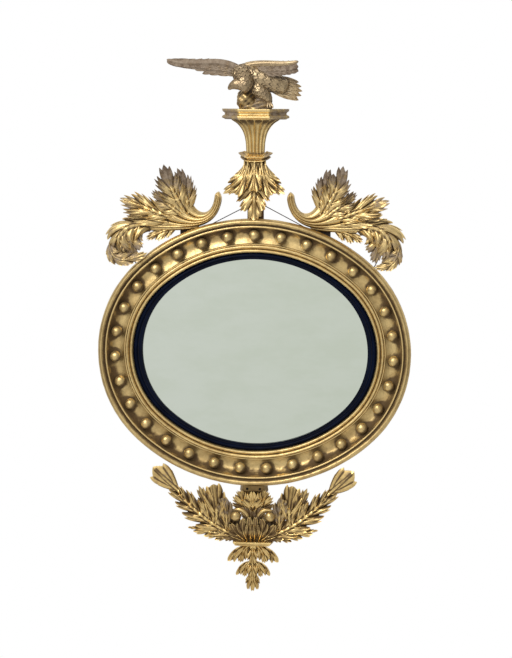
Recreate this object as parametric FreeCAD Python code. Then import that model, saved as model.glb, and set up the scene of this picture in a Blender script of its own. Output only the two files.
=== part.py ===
"""Oval wall mirror in a carved and gilded wooden frame: a hollow moulding set with balls, an ebonised slip,
a crest of scrolling leaves under an eagle on a plinth, and a leafy apron with a pendant.

The part hangs on a wall. Its frame has +X to the right, +Z up and the front towards -Y. The origin is the middle
of the backboard's rear face, which lies against the wall, so every depth is given as "proud": how far a point
stands forward of the wall. Sizes are millimetres.
"""

import FreeCAD, Part
import math
import os

from FreeCAD import Vector

# ---------------------------------------------------------------- sizes that drive the whole object
frame_half_width = 392.0        # outer oval, half of its width
frame_half_height = 335.0       # outer oval, half of its height
side_tightness = 0.718          # 0 gives the side arcs the half-height as their radius; more makes them tighter

# depths, all measured forward from the wall
board_thickness = 12.0
carcase_thickness = 14.0
plate_thickness = 4.0
moulding_height = 38.0          # the main moulding, forward of the carcase
sight_height = 17.5             # the sight moulding, forward of the carcase
slip_height = 6.0

# widths across the moulding, measured inwards from the outer oval
rim_width = 16.0                # the round outer rim
fillet_width = 6.5              # the flat beside it, with its groove
hollow_width = 43.5             # the hollow that holds the balls
sight_width = 20.0              # two reeds inside the hollow
ledge_width = 10.0              # how far the carcase runs on behind the slip
glass_half_width = 283.0        # the slip's opening
glass_half_height = 232.0
drop_in_clearance = 0.3         # slip, plate and boards lie in their places with this much room
outer_rebate = 4.0              # the carcase stands in from the rim by this much

ball_radius = 14.0
ball_count = 31
ball_sides = 10

board_overlap = 14.0            # the backboard reaches this far over the carcase
board_joint_heights = (-85.0, 85.0)
board_joint_gap = 0.4
screw_head_radius = 4.0
screw_head_depth = 3.0
screw_radius = 2.0
screw_length = 22.0

# ---------------------------------------------------------------- depths and widths that follow from those
carcase_back = board_thickness
carcase_front = carcase_back + carcase_thickness
plate_front = carcase_front
plate_back = plate_front - plate_thickness
moulding_front = carcase_front + moulding_height
hollow_outer = rim_width + fillet_width
hollow_inner = hollow_outer + hollow_width
sight_inner = hollow_inner + sight_width
carcase_inner = sight_inner + ledge_width
hollow_depth = 0.895 * moulding_height      # floor of the hollow, below the rim's front
ball_offset = hollow_outer + 0.45 * hollow_width


# ---------------------------------------------------------------- points, curves and faceted solids
def at(x, proud, z):
    """The point x to the right, proud of the wall and z up."""
    return Vector(x, -proud, z)


def on_curve(points, t):
    """The point at t, from 0 to 1, on the Bezier curve with these control points."""
    low = list(points)
    while len(low) > 1:
        low = [a * (1 - t) + b * t for a, b in zip(low, low[1:])]
    return low[0]


def along_curve(points, t):
    """The curve's direction at t."""
    return on_curve([b - a for a, b in zip(points, points[1:])], t).normalize()


def flat_faces(corners):
    """One face over the corners if they lie in a plane, or else a fan of triangles."""
    normal = (corners[1] - corners[0]).cross(corners[2] - corners[0])
    flat = normal.Length > 1e-9 and all(
        abs((p - corners[0]).dot(normal)) < 1e-6 * normal.Length for p in corners[3:]
    )
    if flat:
        return [Part.Face(Part.makePolygon(corners + corners[:1]))]
    fan = []
    for a, b in zip(corners[1:], corners[2:]):
        if (a - corners[0]).cross(b - corners[0]).Length > 1e-6:
            fan.append(Part.Face(Part.makePolygon([corners[0], a, b, corners[0]])))
    return fan


def faceted_loft(sections):
    """A solid with flat facets through closed sections that have as many points each."""
    faces = flat_faces(sections[0]) + flat_faces(sections[-1])
    for near, far in zip(sections, sections[1:]):
        for i in range(len(near)):
            j = (i + 1) % len(near)
            faces += flat_faces([near[i], near[j], far[j], far[i]])
    solid = Part.Solid(Part.Shell(faces))
    return solid if solid.Volume > 0 else solid.reversed()


def tapered(spine, radii, sides=6, flatten=1.0, front=Vector(0, -1, 0), turns=9):
    """A limb or stem: polygons of the given radii, spaced evenly along the spine."""
    sections = []
    for k in range(turns):
        t = k / (turns - 1)
        centre, along = on_curve(spine, t), along_curve(spine, t)
        across = along.cross(front).normalize()
        forward = across.cross(along)
        radius = on_curve(radii, t)
        section = []
        for i in range(sides):
            a = 2 * math.pi * (i + 0.5) / sides
            section.append(centre + across * (radius * math.cos(a)) + forward * (radius * flatten * math.sin(a)))
        sections.append(section)
    return faceted_loft(sections)


def leaf(spine, facing, half_width, lobes, thickness, stalk=0.3, notch=0.6, sweep=0.35, cup=0.12, fullest=0.8):
    """A carved leaf: diamond sections along a spine, where every second one reaches out to a pair of lobe tips.

    facing is a curve of directions that the leaf's front turns through from its root to its tip. stalk is the
    root's width and notch that of a section between lobes, as shares; a larger fullest puts the width further out.
    """
    last = 2 * lobes + 1
    sections = []
    for k in range(last + 1):
        t = k / last
        centre, along = on_curve(spine, t), along_curve(spine, t)
        across = along.cross(on_curve(facing, t)).normalize()
        forward = across.cross(along)
        swell = math.sin(math.pi * (0.06 + 0.9 * t) ** fullest) ** 0.75
        reach = half_width * (stalk * (1 - t) + (1 - 0.5 * stalk) * swell + 0.04)
        reach *= 1.0 if k % 2 else notch
        lead = along * (sweep * reach if k % 2 else 0.0) + forward * (cup * reach)
        half_depth = 0.5 * thickness * (1.0 - 0.6 * t)
        sections.append(
            [centre - across * reach + lead, centre + forward * half_depth,
             centre + across * reach + lead, centre - forward * half_depth]
        )
    return faceted_loft(sections)


def largest(shape):
    """The largest solid of a shape that a cut may have left in pieces."""
    return max(shape.Solids, key=lambda s: s.Volume)


def seated(piece, *carriers):
    """The piece, cut to lie face to face against what carries it."""
    for carrier in carriers:
        if piece.BoundBox.intersect(carrier.BoundBox):
            piece = largest(piece.cut(carrier))
    return piece


def joined(*pieces):
    """One solid from pieces that are carved out of the same block."""
    whole = pieces[0]
    for piece in pieces[1:]:
        whole = whole.fuse(piece)
    return largest(whole)


def mirrored(shape):
    return shape.mirror(Vector(0, 0, 0), Vector(1, 0, 0))


# ---------------------------------------------------------------- the oval, drawn with a compass in four arcs
class Oval:
    """An oval of two side arcs and two flatter arcs, whose offsets are again such ovals."""

    def __init__(self, half_width, half_height):
        self.a, self.b = half_width, half_height
        if abs(self.a - self.b) < 0.1:
            self.b = self.a - 0.1
        self.side = self.b * (1 - side_tightness * (1 - self.b / self.a))
        self.top = ((self.a - self.side) ** 2 + self.b ** 2 - self.side ** 2) / (2 * (self.b - self.side))
        self.side_x = self.a - self.side
        self.top_z = self.b - self.top
        self.joint = math.atan2(abs(self.side_x), abs(self.top_z))

    def point(self, inwards, share):
        """x and z at a share of the way round, clockwise from the top, inwards from the outer oval."""
        top, side = self.top - inwards, self.side - inwards
        quarter = top * self.joint + side * (math.pi / 2 - self.joint)
        way = share % 1.0 * 4 * quarter
        half, way = divmod(way, 2 * quarter)
        back = way > quarter
        way = 2 * quarter - way if back else way
        angle = way / top
        if angle > self.joint:
            angle = self.joint + (way - top * self.joint) / side
            x, z = self.side_x + side * math.sin(angle), side * math.cos(angle)
        else:
            x, z = top * math.sin(angle), self.top_z + top * math.cos(angle)
        z = -z if back else z
        return (-x, -z) if half else (x, z)

    def height_at(self, x, inwards=0.0):
        """z of the upper half at x."""
        top, side = self.top - inwards, self.side - inwards
        if abs(x) <= top * math.sin(self.joint):
            return self.top_z + math.sqrt(top ** 2 - x ** 2)
        return math.sqrt(side ** 2 - (abs(x) - self.side_x) ** 2)

    def ring(self, profile):
        """A ring whose section is a list of (inwards, proud) corners."""
        parts = []
        half_side = 90.0 - math.degrees(self.joint)
        for s in (1, -1):
            corners = [at(s * (self.a - d), f, 0) for d, f in profile]
            parts.append(self._turned(corners, Vector(s * self.side_x, 0, 0), half_side))
            corners = [at(0, f, s * (self.b - d)) for d, f in profile]
            parts.append(self._turned(corners, Vector(0, 0, s * self.top_z), 90.0 - half_side))
        return largest(parts[0].fuse(parts[1:]))

    @staticmethod
    def _turned(corners, centre, half_angle):
        face = Part.Face(Part.makePolygon(corners + corners[:1]))
        face.rotate(centre, Vector(0, 1, 0), half_angle)
        return face.revolve(centre, Vector(0, 1, 0), -2 * half_angle)

    def outline(self, inwards=0.0):
        """The closed wire of the oval, in the wall plane."""
        top, side = self.top - inwards, self.side - inwards
        joint_x, joint_z = self.side_x + side * math.sin(self.joint), side * math.cos(self.joint)
        arcs = []
        for s in (1, -1):
            arcs.append(Part.Arc(at(-s * joint_x, 0, s * joint_z), at(0, 0, s * (self.top_z + top)),
                                 at(s * joint_x, 0, s * joint_z)))
            arcs.append(Part.Arc(at(s * joint_x, 0, s * joint_z), at(s * (self.side_x + side), 0, 0),
                                 at(s * joint_x, 0, -s * joint_z)))
        return Part.Wire([arc.toShape() for arc in arcs])

    def slab(self, inwards, back, front):
        """A solid oval board between two depths."""
        board = Part.Face(self.outline(inwards)).extrude(Vector(0, back - front, 0))
        board.translate(Vector(0, -back, 0))
        return board


outer = Oval(frame_half_width, frame_half_height)
opening = Oval(glass_half_width, glass_half_height)
FRONT = Vector(0, -1, 0)
RIGHT = Vector(1, 0, 0)
UP = Vector(0, 0, 1)

# ---------------------------------------------------------------- crest and apron, placed from the oval's top and foot
batten_width = 40.0
batten_thickness = 12.0
batten_front = carcase_back + batten_thickness
batten_lap = 58.0               # how far each batten is let into the carcase

collar_rise = 136.0             # underside of the crest's collar above the oval
collar_height = 20.0
stem_height = 88.0
cap_height = 26.0
cap_half_width = 83.5
cap_front_half = 39.5
cap_depth = 50.0                # from the batten to the cap's front facet
stem_half_width = 23.0
stem_top_half_width = 66.0
stem_flutes = 9
flute_depth = 3.0

pendant_drop = 150.0            # underside of the apron's collar below the oval
apron_collar_height = 9.0
apron_collar_half_width = 50.0
upper_husk_length = 48.0
lower_husk_length = 42.0
husk_step = 40.0                # the lower husk starts this far below the upper one
bud_length = 50.0

scroll_from_side = 264.0        # where the scroll rests on the rim, in from the oval's side


def crest(x, proud, rise):
    """A point above the top of the oval."""
    return at(x, proud, frame_half_height + rise)


def apron(x, proud, drop):
    """A point below the foot of the oval."""
    return at(x, proud, -frame_half_height - drop)


scroll_seat_x = frame_half_width - scroll_from_side


def scroll(dx, proud, dz):
    """A point by the place where the right-hand scroll rests on the rim."""
    return at(scroll_seat_x + dx, proud, outer.height_at(scroll_seat_x) + dz)


# ---------------------------------------------------------------- the frame's own pieces
def frame_moulding():
    """The turned front of the frame: round rim, groove, fillet and the hollow for the balls."""
    back, front = carcase_front, moulding_front
    rim_low = front - 0.5 * rim_width
    rim = [(0.15 * rim_width, back), (0, rim_low), (0.15 * rim_width, front - 0.2 * rim_width),
           (0.5 * rim_width, front), (0.85 * rim_width, front - 0.2 * rim_width), (rim_width, front - 9.0)]
    fillet = [(rim_width + 1.5, front - 7.0), (hollow_outer - 1.0, front - 7.0), (hollow_outer, front - 12.0)]
    floor = front - hollow_depth
    hollow = []
    for along, height in ((0.16, 0.42), (0.36, 0.1), (0.6, 0.0), (0.82, 0.12)):
        hollow.append((hollow_outer + along * hollow_width, floor + height * (hollow_depth - 12.0)))
    inner = [(hollow_inner - 2.0, floor + 0.36 * (hollow_depth - 12.0)),
             (hollow_inner, floor + 0.36 * (hollow_depth - 12.0)), (hollow_inner, back)]
    return outer.ring(rim + fillet + hollow + inner)


def sight_moulding():
    """Two gilt reeds between the hollow and the black slip."""
    d, back, front = hollow_inner, carcase_front, carcase_front + sight_height
    w = sight_width
    return outer.ring(
        [(d, back), (d, front - 3.0), (d + 0.15 * w, front), (d + 0.38 * w, front - 1.0), (d + 0.5 * w, front - 5.0),
         (d + 0.62 * w, front - 2.0), (d + 0.85 * w, front - 1.5), (d + w, front - 5.5), (d + w, back)]
    )


def slip():
    """The ebonised slip: a flat ring to the opening's oval, with a rounded band along its outer edge."""
    d, back, flat = sight_inner + drop_in_clearance, carcase_front, carcase_front + slip_height
    ring = outer.slab(d, back, flat).cut(opening.slab(0, back - 1.0, flat + 1.0))
    band = outer.ring([(d, back), (d + 1.0, flat), (d + 4.0, flat + 5.5), (d + 9.0, flat + 5.0), (d + 12.0, flat),
                       (d + 12.0, back)])
    return largest(ring.fuse(band).removeSplitter())


def carcase(housings):
    """The pine ring that everything is built on, housed behind for the two battens."""
    outside, inside = outer_rebate, carcase_inner
    ring = outer.ring([(outside + 4.0, carcase_back), (outside, carcase_back + 4.0), (outside, carcase_front),
                       (inside, carcase_front), (inside, carcase_back)])
    for housing in housings:
        ring = ring.cut(housing)
    return largest(ring)


def mirror_plate():
    return outer.slab(carcase_inner + drop_in_clearance, plate_back, plate_front)


def plate_blocks():
    """Small glued pine blocks that hold the plate in its rebate."""
    blocks = []
    size = 14.0
    for k in range(12):
        x, z = outer.point(carcase_inner + 0.5 * size + 0.02, (k + 0.5) / 12)
        block = Part.makeBox(2.6 * size, plate_back - carcase_back, size)
        block.translate(Vector(-1.3 * size, -plate_back, -0.5 * size))
        block.rotate(Vector(0, 0, 0), Vector(0, 1, 0), math.degrees(math.atan2(x, z)))
        block.translate(Vector(x, 0, z))
        blocks.append(block.common(outer.slab(carcase_inner, 0, plate_back)))
    return Part.makeCompound(blocks)


def backboards():
    """Three pine boards, side by side, that close the back: lower, middle and upper."""
    outline = outer.slab(carcase_inner - board_overlap, 0, board_thickness)
    heights = [-frame_half_height] + list(board_joint_heights) + [frame_half_height]
    boards = []
    for low, high in zip(heights, heights[1:]):
        strip = Part.makeBox(2 * frame_half_width, board_thickness, high - low - board_joint_gap)
        strip.translate(at(-frame_half_width, board_thickness, low + 0.5 * board_joint_gap))
        boards.append(largest(outline.common(strip)))
    return boards


def countersunk_screw(x, z, back):
    """A screw driven from behind, its head flush at the given depth."""
    head = Part.makeCone(screw_head_radius, screw_radius, screw_head_depth, at(x, back, z), FRONT)
    shank = Part.makeCylinder(screw_radius, screw_length - screw_head_depth, at(x, back + screw_head_depth, z), FRONT)
    return head.fuse(shank).removeSplitter()


def balls():
    """The gilt balls, evenly spaced round the hollow and flattened where they are glued to its floor."""
    seat = moulding_front - hollow_depth + 0.06 * hollow_depth
    heights = (0.0, 0.22, 0.5, 0.78, 1.0)
    solids = []
    for k in range(ball_count):
        x, z = outer.point(ball_offset, k / ball_count)
        sections = []
        for height in heights:
            level = seat + height * 1.86 * ball_radius
            radius = math.sqrt(max(0.08, 1 - (1.86 * height - 0.86) ** 2)) * ball_radius
            sections.append([at(x + radius * math.cos(2 * math.pi * i / ball_sides), level,
                                z + radius * math.sin(2 * math.pi * i / ball_sides)) for i in range(ball_sides)])
        solids.append(faceted_loft(sections))
    return solids


# ---------------------------------------------------------------- the crest
def plan_section(half_width, front_half, depth, z, corner_lift=0.0):
    """A half-octagon in plan, against the batten: back corners, side corners and the two front ones."""
    back, side, front = batten_front, batten_front + 0.12 * depth, batten_front + depth
    return [at(half_width, back, z + corner_lift), at(half_width, side, z + corner_lift), at(front_half, front, z),
            at(-front_half, front, z), at(-half_width, side, z + corner_lift), at(-half_width, back, z + corner_lift)]


def plinth_cap():
    """The moulded cap that the eagle stands on: two fillets with a hollow between."""
    foot = frame_half_height + collar_rise + collar_height + stem_height
    sections = []
    for inset, height in ((7.0, 0.0), (0.0, 0.12), (0.0, 0.26), (7.0, 0.42), (7.0, 0.62), (1.0, 0.82), (1.0, 1.0)):
        share = 1 - inset / cap_half_width
        sections.append(plan_section(cap_half_width - inset, cap_front_half - 0.4 * inset, cap_depth * share,
                                     foot + height * cap_height))
    return faceted_loft(sections)


def plinth_stem():
    """The fluted stem, which flares out under the cap."""
    foot = frame_half_height + collar_rise + collar_height
    sections = []
    for height, flare in ((0.0, 0.0), (0.35, 0.04), (0.65, 0.2), (0.85, 0.48), (1.0, 1.0)):
        half = stem_half_width + flare * (stem_top_half_width - stem_half_width)
        deep = 0.34 * cap_depth + flare * 0.46 * cap_depth
        section = [at(half, batten_front, foot + height * stem_height)]
        for i in range(2 * stem_flutes + 1):
            a = math.pi * i / (2 * stem_flutes)
            sunk = flute_depth * (1 + flare) if i % 2 == 0 else 0.0
            section.append(at((half - 0.5 * sunk) * math.cos(a), batten_front + 1.0 + (deep - sunk) * math.sin(a),
                              foot + height * stem_height))
        section.append(at(-half, batten_front, foot + height * stem_height))
        sections.append(section)
    return faceted_loft(sections)


def crest_collar():
    """The moulded ring between stem and leaves, with its corners turned up."""
    foot = frame_half_height + collar_rise
    sections = []
    for half, height, lift in ((26, 0.0, 0.0), (34, 0.25, 3.0), (43, 0.45, 6.0), (40, 0.62, 8.0), (43, 0.8, 9.0),
                               (30, 1.0, 0.0)):
        sections.append(plan_section(half, 0.55 * half, 0.75 * half, foot + height * collar_height, lift))
    return faceted_loft(sections)


def crest_core():
    """The tapered block behind the leaves, from the rim up to the collar."""
    sections = []
    for rise, half, deep in ((3.0, 16, 12), (40.0, 19, 14), (100.0, 15, 12), (collar_rise, 22, 16)):
        sections.append([crest(half, batten_front, rise), crest(0.6 * half, batten_front + deep, rise),
                         crest(-0.6 * half, batten_front + deep, rise), crest(-half, batten_front, rise)])
    return faceted_loft(sections)


def crest_centre_leaf():
    return leaf([crest(0, 44, 134), crest(0, 54, 100), crest(0, 60, 75), crest(0, 72, 56)],
                [FRONT, FRONT + UP * 0.2], 27, 3, 12)


def crest_side_leaf():
    """The right-hand hanging leaf of the three under the collar."""
    return leaf([crest(16, 38, 134), crest(32, 46, 105), crest(50, 50, 80), crest(74, 56, 55)],
                [FRONT + RIGHT * 0.4, FRONT + RIGHT * 0.3], 27, 4, 12)


def crest_lower_leaf():
    """The leaf that hangs from behind the three and ends on the rim."""
    return leaf([crest(0, 37, 92), crest(0, 47, 60), crest(0, 58, 30), crest(0, 52, -3)],
                [FRONT, FRONT], 40, 3, 12, stalk=0.5)


# ---------------------------------------------------------------- a side scroll and its leaves, right-hand
def scroll_stem():
    """The horn that rises from the rim, turns through a U and runs on outwards as a long rib."""
    horn = tapered([scroll(-40, 52, 75), scroll(-46, 46, 24), scroll(-22, 40, 4), scroll(8, 38, 15),
                    scroll(38, 40, 18), scroll(30, 44, 62)], [4, 13, 15, 17, 20, 12], turns=9)
    rib = tapered([scroll(-4, 38, 12), scroll(60, 38, -6), scroll(120, 40, -6), scroll(178, 44, 4)],
                  [14, 12, 10, 10], turns=6)
    return joined(horn, rib)


def scroll_upright_leaf():
    return leaf([scroll(34, 42, 30), scroll(52, 48, 72), scroll(68, 56, 106), scroll(80, 74, 153)],
                [FRONT, FRONT + UP * 0.3, FRONT + UP * 0.6], 47, 4, 16, stalk=0.6, notch=0.66, fullest=1.25)


def scroll_middle_leaf():
    return leaf([scroll(14, 42, 18), scroll(80, 46, 18), scroll(140, 60, 48), scroll(204, 56, 56)],
                [FRONT, FRONT + UP * 0.4], 31, 4, 14, stalk=0.4, notch=0.7, fullest=1.2)


def scroll_curled_leaf():
    """The long leaf that rolls over and down to the rim."""
    return leaf([scroll(134, 44, 2), scroll(212, 62, 26), scroll(252, 66, -112), scroll(144, 54, -80)],
                [FRONT + UP, FRONT + RIGHT * 1.2, FRONT - UP * 0.6], 32, 6, 16, stalk=0.5, notch=0.75, sweep=0.2,
                fullest=0.95)


def scroll_under_leaf():
    return leaf([scroll(70, 38, 2), scroll(90, 42, -8), scroll(106, 46, -20), scroll(122, 50, -36)],
                [FRONT, FRONT], 17, 3, 10, stalk=0.6)


def scroll_block():
    """The dark block, screwed to the frame's edge, that carries the scroll."""
    block = Part.makeBox(32.0, batten_front + 10.0 - carcase_back, 40.0)
    block.translate(scroll(27.0, batten_front + 10.0, -36.0))
    return block


def scroll_pin():
    """The iron pin that ties the rolled leaf to the rim."""
    x = scroll_seat_x + 168.0
    foot = outer.height_at(x) - 6.0
    return Part.makeCylinder(1.2, 30.0, at(x, carcase_front + 10.0, foot), RIGHT * 0.5 + UP)


# ---------------------------------------------------------------- the apron
def apron_core():
    sections = []
    for drop, half, deep in ((2.0, 34, 14), (16.0, 36, 15), (30.0, 26, 13), (80.0, 28, 12),
                             (pendant_drop - apron_collar_height, 40, 18)):
        sections.append([apron(half, batten_front, drop), apron(0.8 * half, batten_front + deep, drop),
                         apron(-0.8 * half, batten_front + deep, drop), apron(-half, batten_front, drop)])
    return faceted_loft(sections)


def apron_screw(x):
    """A round-headed screw that holds the apron's neck to its batten."""
    head = Part.makeSphere(3.4, at(0, 0, 0), FRONT, 0, 90, 360)
    head.translate(apron(x, batten_front + 14.6, 11.0))
    shank = Part.makeCylinder(1.6, 18.0, apron(x, batten_front + 14.6, 11.0), -FRONT)
    return head.fuse(shank)


def apron_rosette():
    """Three short leaves that stand up against the frame's foot."""
    centre = leaf([apron(0, 38, 70), apron(0, 48, 50), apron(0, 54, 36), apron(0, 56, 19)], [FRONT, FRONT], 22, 2, 14,
                  stalk=0.5)
    side = leaf([apron(8, 37, 66), apron(22, 44, 54), apron(38, 48, 42), apron(46, 50, 18)],
                [FRONT + RIGHT * 0.4, FRONT], 20, 2, 13, stalk=0.6)
    return joined(centre, side, mirrored(side))


def apron_palmette():
    """The husk above the collar: one leaf in front and one to each side."""
    base = pendant_drop - apron_collar_height - 0.2
    centre = leaf([apron(0, 44, base), apron(0, 58, base - 20), apron(0, 62, base - 40), apron(0, 58, base - 62)],
                  [FRONT, FRONT], 19, 2, 14, stalk=0.8)
    side = leaf([apron(12, 41, base), apron(26, 52, base - 14), apron(36, 54, base - 30), apron(38, 52, base - 52)],
                [FRONT + RIGHT * 0.4, FRONT], 17, 2, 13, stalk=0.9)
    return joined(centre, side, mirrored(side))


def apron_boss():
    """The small ball on the right, above the palmette."""
    return tapered([apron(43, 30, 80), apron(43, 58, 80)], [13, 12, 11, 3], sides=8, front=UP, turns=5)


def apron_branch():
    """The right-hand spray: a long serrated blade, two leaves on its upper side and a broad end leaf."""
    stem = [apron(44, 40, 126), apron(104, 46, 106), apron(166, 46, 56), apron(214, 44, -6)]
    blade = leaf(stem, [FRONT, FRONT], 27, 6, 16, stalk=0.6, notch=0.7)
    tall = leaf([apron(98, 44, 92), apron(94, 52, 64), apron(94, 56, 34), apron(101, 56, -6)], [FRONT, FRONT], 25, 3, 12)
    short = leaf([apron(70, 42, 108), apron(66, 48, 86), apron(64, 52, 60), apron(67, 54, 18)], [FRONT, FRONT], 15, 3, 10)
    end = leaf([apron(164, 45, 40), apron(196, 48, 10), apron(222, 56, -16), apron(256, 60, -46)], [FRONT, FRONT], 27, 4,
               12, stalk=0.7, notch=0.7)
    return joined(blade, tall, short, end)


def apron_low_leaf():
    return leaf([apron(40, 38, 134), apron(84, 42, 132), apron(124, 46, 124), apron(166, 50, 102)],
                [FRONT, FRONT - UP * 0.3], 21, 4, 11, stalk=0.7)


def apron_collar():
    """The moulded plate between palmette and pendant, its corners turned up."""
    sections = []
    foot = -frame_half_height - pendant_drop
    for half, height, lift in ((apron_collar_half_width - 6, 0.0, 1.0), (apron_collar_half_width, 0.3, 2.0),
                               (apron_collar_half_width, 1.0, 2.0)):
        sections.append(plan_section(half, 0.55 * half, 0.8 * half, foot + height * apron_collar_height, lift))
    return faceted_loft(sections)


def hanging_husk(drop, length, spread, size):
    """A whorl of hanging leaves round a short core: one in front, one at each side and one between."""
    core = tapered([apron(0, 38, drop), apron(0, 38, drop + 0.8 * length)], [0.24 * spread, 0.12 * spread], turns=2)
    leaves = [leaf([apron(0, 44, drop + 1), apron(0, 54, drop + 0.3 * length), apron(0, 60, drop + 0.7 * length),
                    apron(0, 58, drop + length)], [FRONT, FRONT], size, 2, 8, stalk=0.6)]
    for reach, forward in ((0.55, 52), (1.0, 40)):
        side = leaf([apron(4, 40, drop + 1), apron(0.5 * reach * spread, forward, drop + 0.15 * length),
                     apron(0.85 * reach * spread, forward, drop + 0.5 * length),
                     apron(reach * spread, forward, drop + 0.96 * length)],
                    [FRONT + RIGHT * reach, FRONT + RIGHT * 0.5 * reach], size, 2, 8, stalk=0.6)
        leaves += [side, mirrored(side)]
    return joined(core, *leaves)


def pendant_bud():
    drop = pendant_drop + husk_step + 0.7 * lower_husk_length
    return tapered([apron(0, 38, drop), apron(0, 44, drop + 18), apron(0, 42, drop + bud_length)], [9, 19, 12, 5],
                   turns=5)


# ---------------------------------------------------------------- the eagle
def perch(x, proud, rise):
    """A point above the plinth cap's top."""
    return crest(x, proud, collar_rise + collar_height + stem_height + cap_height + rise)


def eagle_rock():
    """The rock that the eagle grips: a low base with a round knob on its left."""
    sections = []
    for rise, shrink in ((0.0, 1.0), (5.0, 0.92), (11.0, 0.7)):
        section = []
        for i in range(8):
            a = 2 * math.pi * (i + 0.4) / 8
            uneven = 1.0 + 0.1 * math.sin(3 * a + 1)
            section.append(perch(4 + 36 * shrink * uneven * math.cos(a), 47 + 21 * shrink * uneven * math.sin(a), rise))
        sections.append(section)
    knob = tapered([perch(-19, 52, 4), perch(-20, 52, 20), perch(-19, 53, 38)], [10, 26, 11], sides=8, turns=6,
                   front=RIGHT)
    return joined(faceted_loft(sections), knob)


def eagle_body():
    """Trunk, neck, lowered head with its beak, and the legs, carved from one block."""
    trunk = tapered([perch(-44, 52, 92), perch(-26, 54, 100), perch(26, 50, 76), perch(72, 46, 50)], [14, 30, 36, 22],
                    sides=8)
    neck = tapered([perch(-34, 52, 88), perch(-24, 76, 80), perch(-14, 80, 56), perch(-34, 78, 50)], [16, 19, 17, 14],
                   sides=8, turns=6, front=RIGHT)
    head = tapered([perch(-22, 78, 50), perch(-44, 78, 60), perch(-56, 79, 52), perch(-60, 79, 36)], [13, 17, 9, 2],
                   sides=8, turns=7)
    thigh = tapered([perch(0, 58, 60), perch(8, 64, 46), perch(36, 62, 38), perch(36, 54, 13)], [16, 18, 12, 6],
                    sides=6, turns=6)
    far_thigh = tapered([perch(-6, 52, 70), perch(-8, 52, 52), perch(-8, 50, 40)], [14, 12, 7], turns=4)
    claw = tapered([perch(34, 52, 16), perch(38, 64, 15), perch(44, 68, 4)], [8, 6, 2], turns=4, front=RIGHT)
    return joined(trunk, neck, head, thigh, far_thigh, claw)


def eagle_left_wing():
    """The wing spread to the left, its feathers notched along the lower edge."""
    return leaf([perch(-34, 48, 94), perch(-100, 54, 106), perch(-140, 46, 94), perch(-221, 38, 119)],
                [FRONT + UP * 0.8, FRONT + UP * 0.5], 20, 6, 12, stalk=0.9, notch=0.85, sweep=0.5, fullest=1.1)


def eagle_right_wing():
    return leaf([perch(-18, 50, 100), perch(30, 66, 112), perch(70, 86, 98), perch(114, 96, 104)],
                [FRONT + UP, FRONT + UP * 0.5], 22, 4, 12, stalk=0.9, notch=0.85, sweep=0.5)


def eagle_tail():
    return leaf([perch(46, 46, 62), perch(72, 44, 56), perch(94, 42, 48), perch(116, 42, 41)],
                [FRONT + UP * 0.3, FRONT], 30, 3, 13, stalk=0.9, notch=0.85, sweep=0.4, fullest=1.1)


# ---------------------------------------------------------------- battens, hooks and wire
def batten(z_low, z_high):
    box = Part.makeBox(batten_width, batten_thickness, z_high - z_low)
    box.translate(at(-0.5 * batten_width, batten_front, z_low))
    return box


eye_x = 200.0
eye_inset = 16.0                # the eye's shank in from the rim
eye_radius = 4.2                # ring's mean radius
eye_wire = 0.9                  # half the thickness of the eye's own wire
wire_radius = 1.1
wire_proud = 0.5 * board_thickness
wire_peak = 40.0                # where the two legs of the wire would meet, above the oval
wire_gap = 0.3                  # between the wire and what carries it
hook_width = 16.0
hook_height = 40.0
hook_plate = 1.6
hook_hole_radius = 1.6
hook_peg_radius = 4.6
hook_flange = 1.2


def eye_centre():
    """Middle of the right-hand eye's ring."""
    return at(eye_x, wire_proud, outer.height_at(eye_x) - eye_inset)


def screw_eye():
    """A ring with a shank driven forward into the carcase."""
    centre = eye_centre()
    out = wire_direction()
    around = out.cross(Vector(0, 1, 0))
    ring = []
    for k in range(12):
        a = 2 * math.pi * (k + 0.5) / 12
        radial = around * math.cos(a) + FRONT * math.sin(a)
        ring.append([centre + radial * (eye_radius + eye_wire * math.cos(b)) + out * (eye_wire * math.sin(b))
                     for b in (math.pi / 4, 3 * math.pi / 4, 5 * math.pi / 4, 7 * math.pi / 4)])
    faces = []
    for near, far in zip(ring, ring[1:] + ring[:1]):
        for i in range(4):
            faces += flat_faces([near[i], near[(i + 1) % 4], far[(i + 1) % 4], far[i]])
    torus = Part.Solid(Part.Shell(faces))
    torus = torus if torus.Volume > 0 else torus.reversed()
    shank = Part.makeCylinder(eye_wire + 0.1, 14.0, centre + FRONT * eye_radius, FRONT)
    return largest(torus.fuse(shank))


def wire_direction():
    """The way the wire runs from the right-hand eye to the hook."""
    return (at(0, wire_proud, frame_half_height + wire_peak) - eye_centre()).normalize()


def wire_bend():
    """Radius of the wire's bend, to its centreline, and the bend's centre on the hook's peg."""
    bend = hook_peg_radius + wire_gap + wire_radius
    along = wire_direction()
    return bend, at(0, wire_proud, frame_half_height + wire_peak - bend / abs(along.x))


def hanging_wire():
    """The wire from eye to eye, bent once over the hook's peg."""
    bend, centre = wire_bend()
    along = wire_direction()
    tangent = centre + Vector(along.z, 0, -along.x) * bend
    start = eye_centre() + along * (eye_wire + wire_gap)
    crown = centre + UP * bend
    path = Part.Wire([Part.LineSegment(start, tangent).toShape(), Part.Arc(tangent, crown, flip(tangent)).toShape(),
                      Part.LineSegment(flip(tangent), flip(start)).toShape()])
    section = Part.Wire([Part.Circle(start, along, wire_radius).toShape()])
    tube = path.makePipeShell([section], True, True)
    print("wire: bend radius", bend, "length", round(path.Length, 1),
          "volume against section x length", round(tube.Volume / (math.pi * wire_radius ** 2 * path.Length), 4))
    return tube


def flip(point):
    return Vector(-point.x, point.y, point.z)


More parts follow.
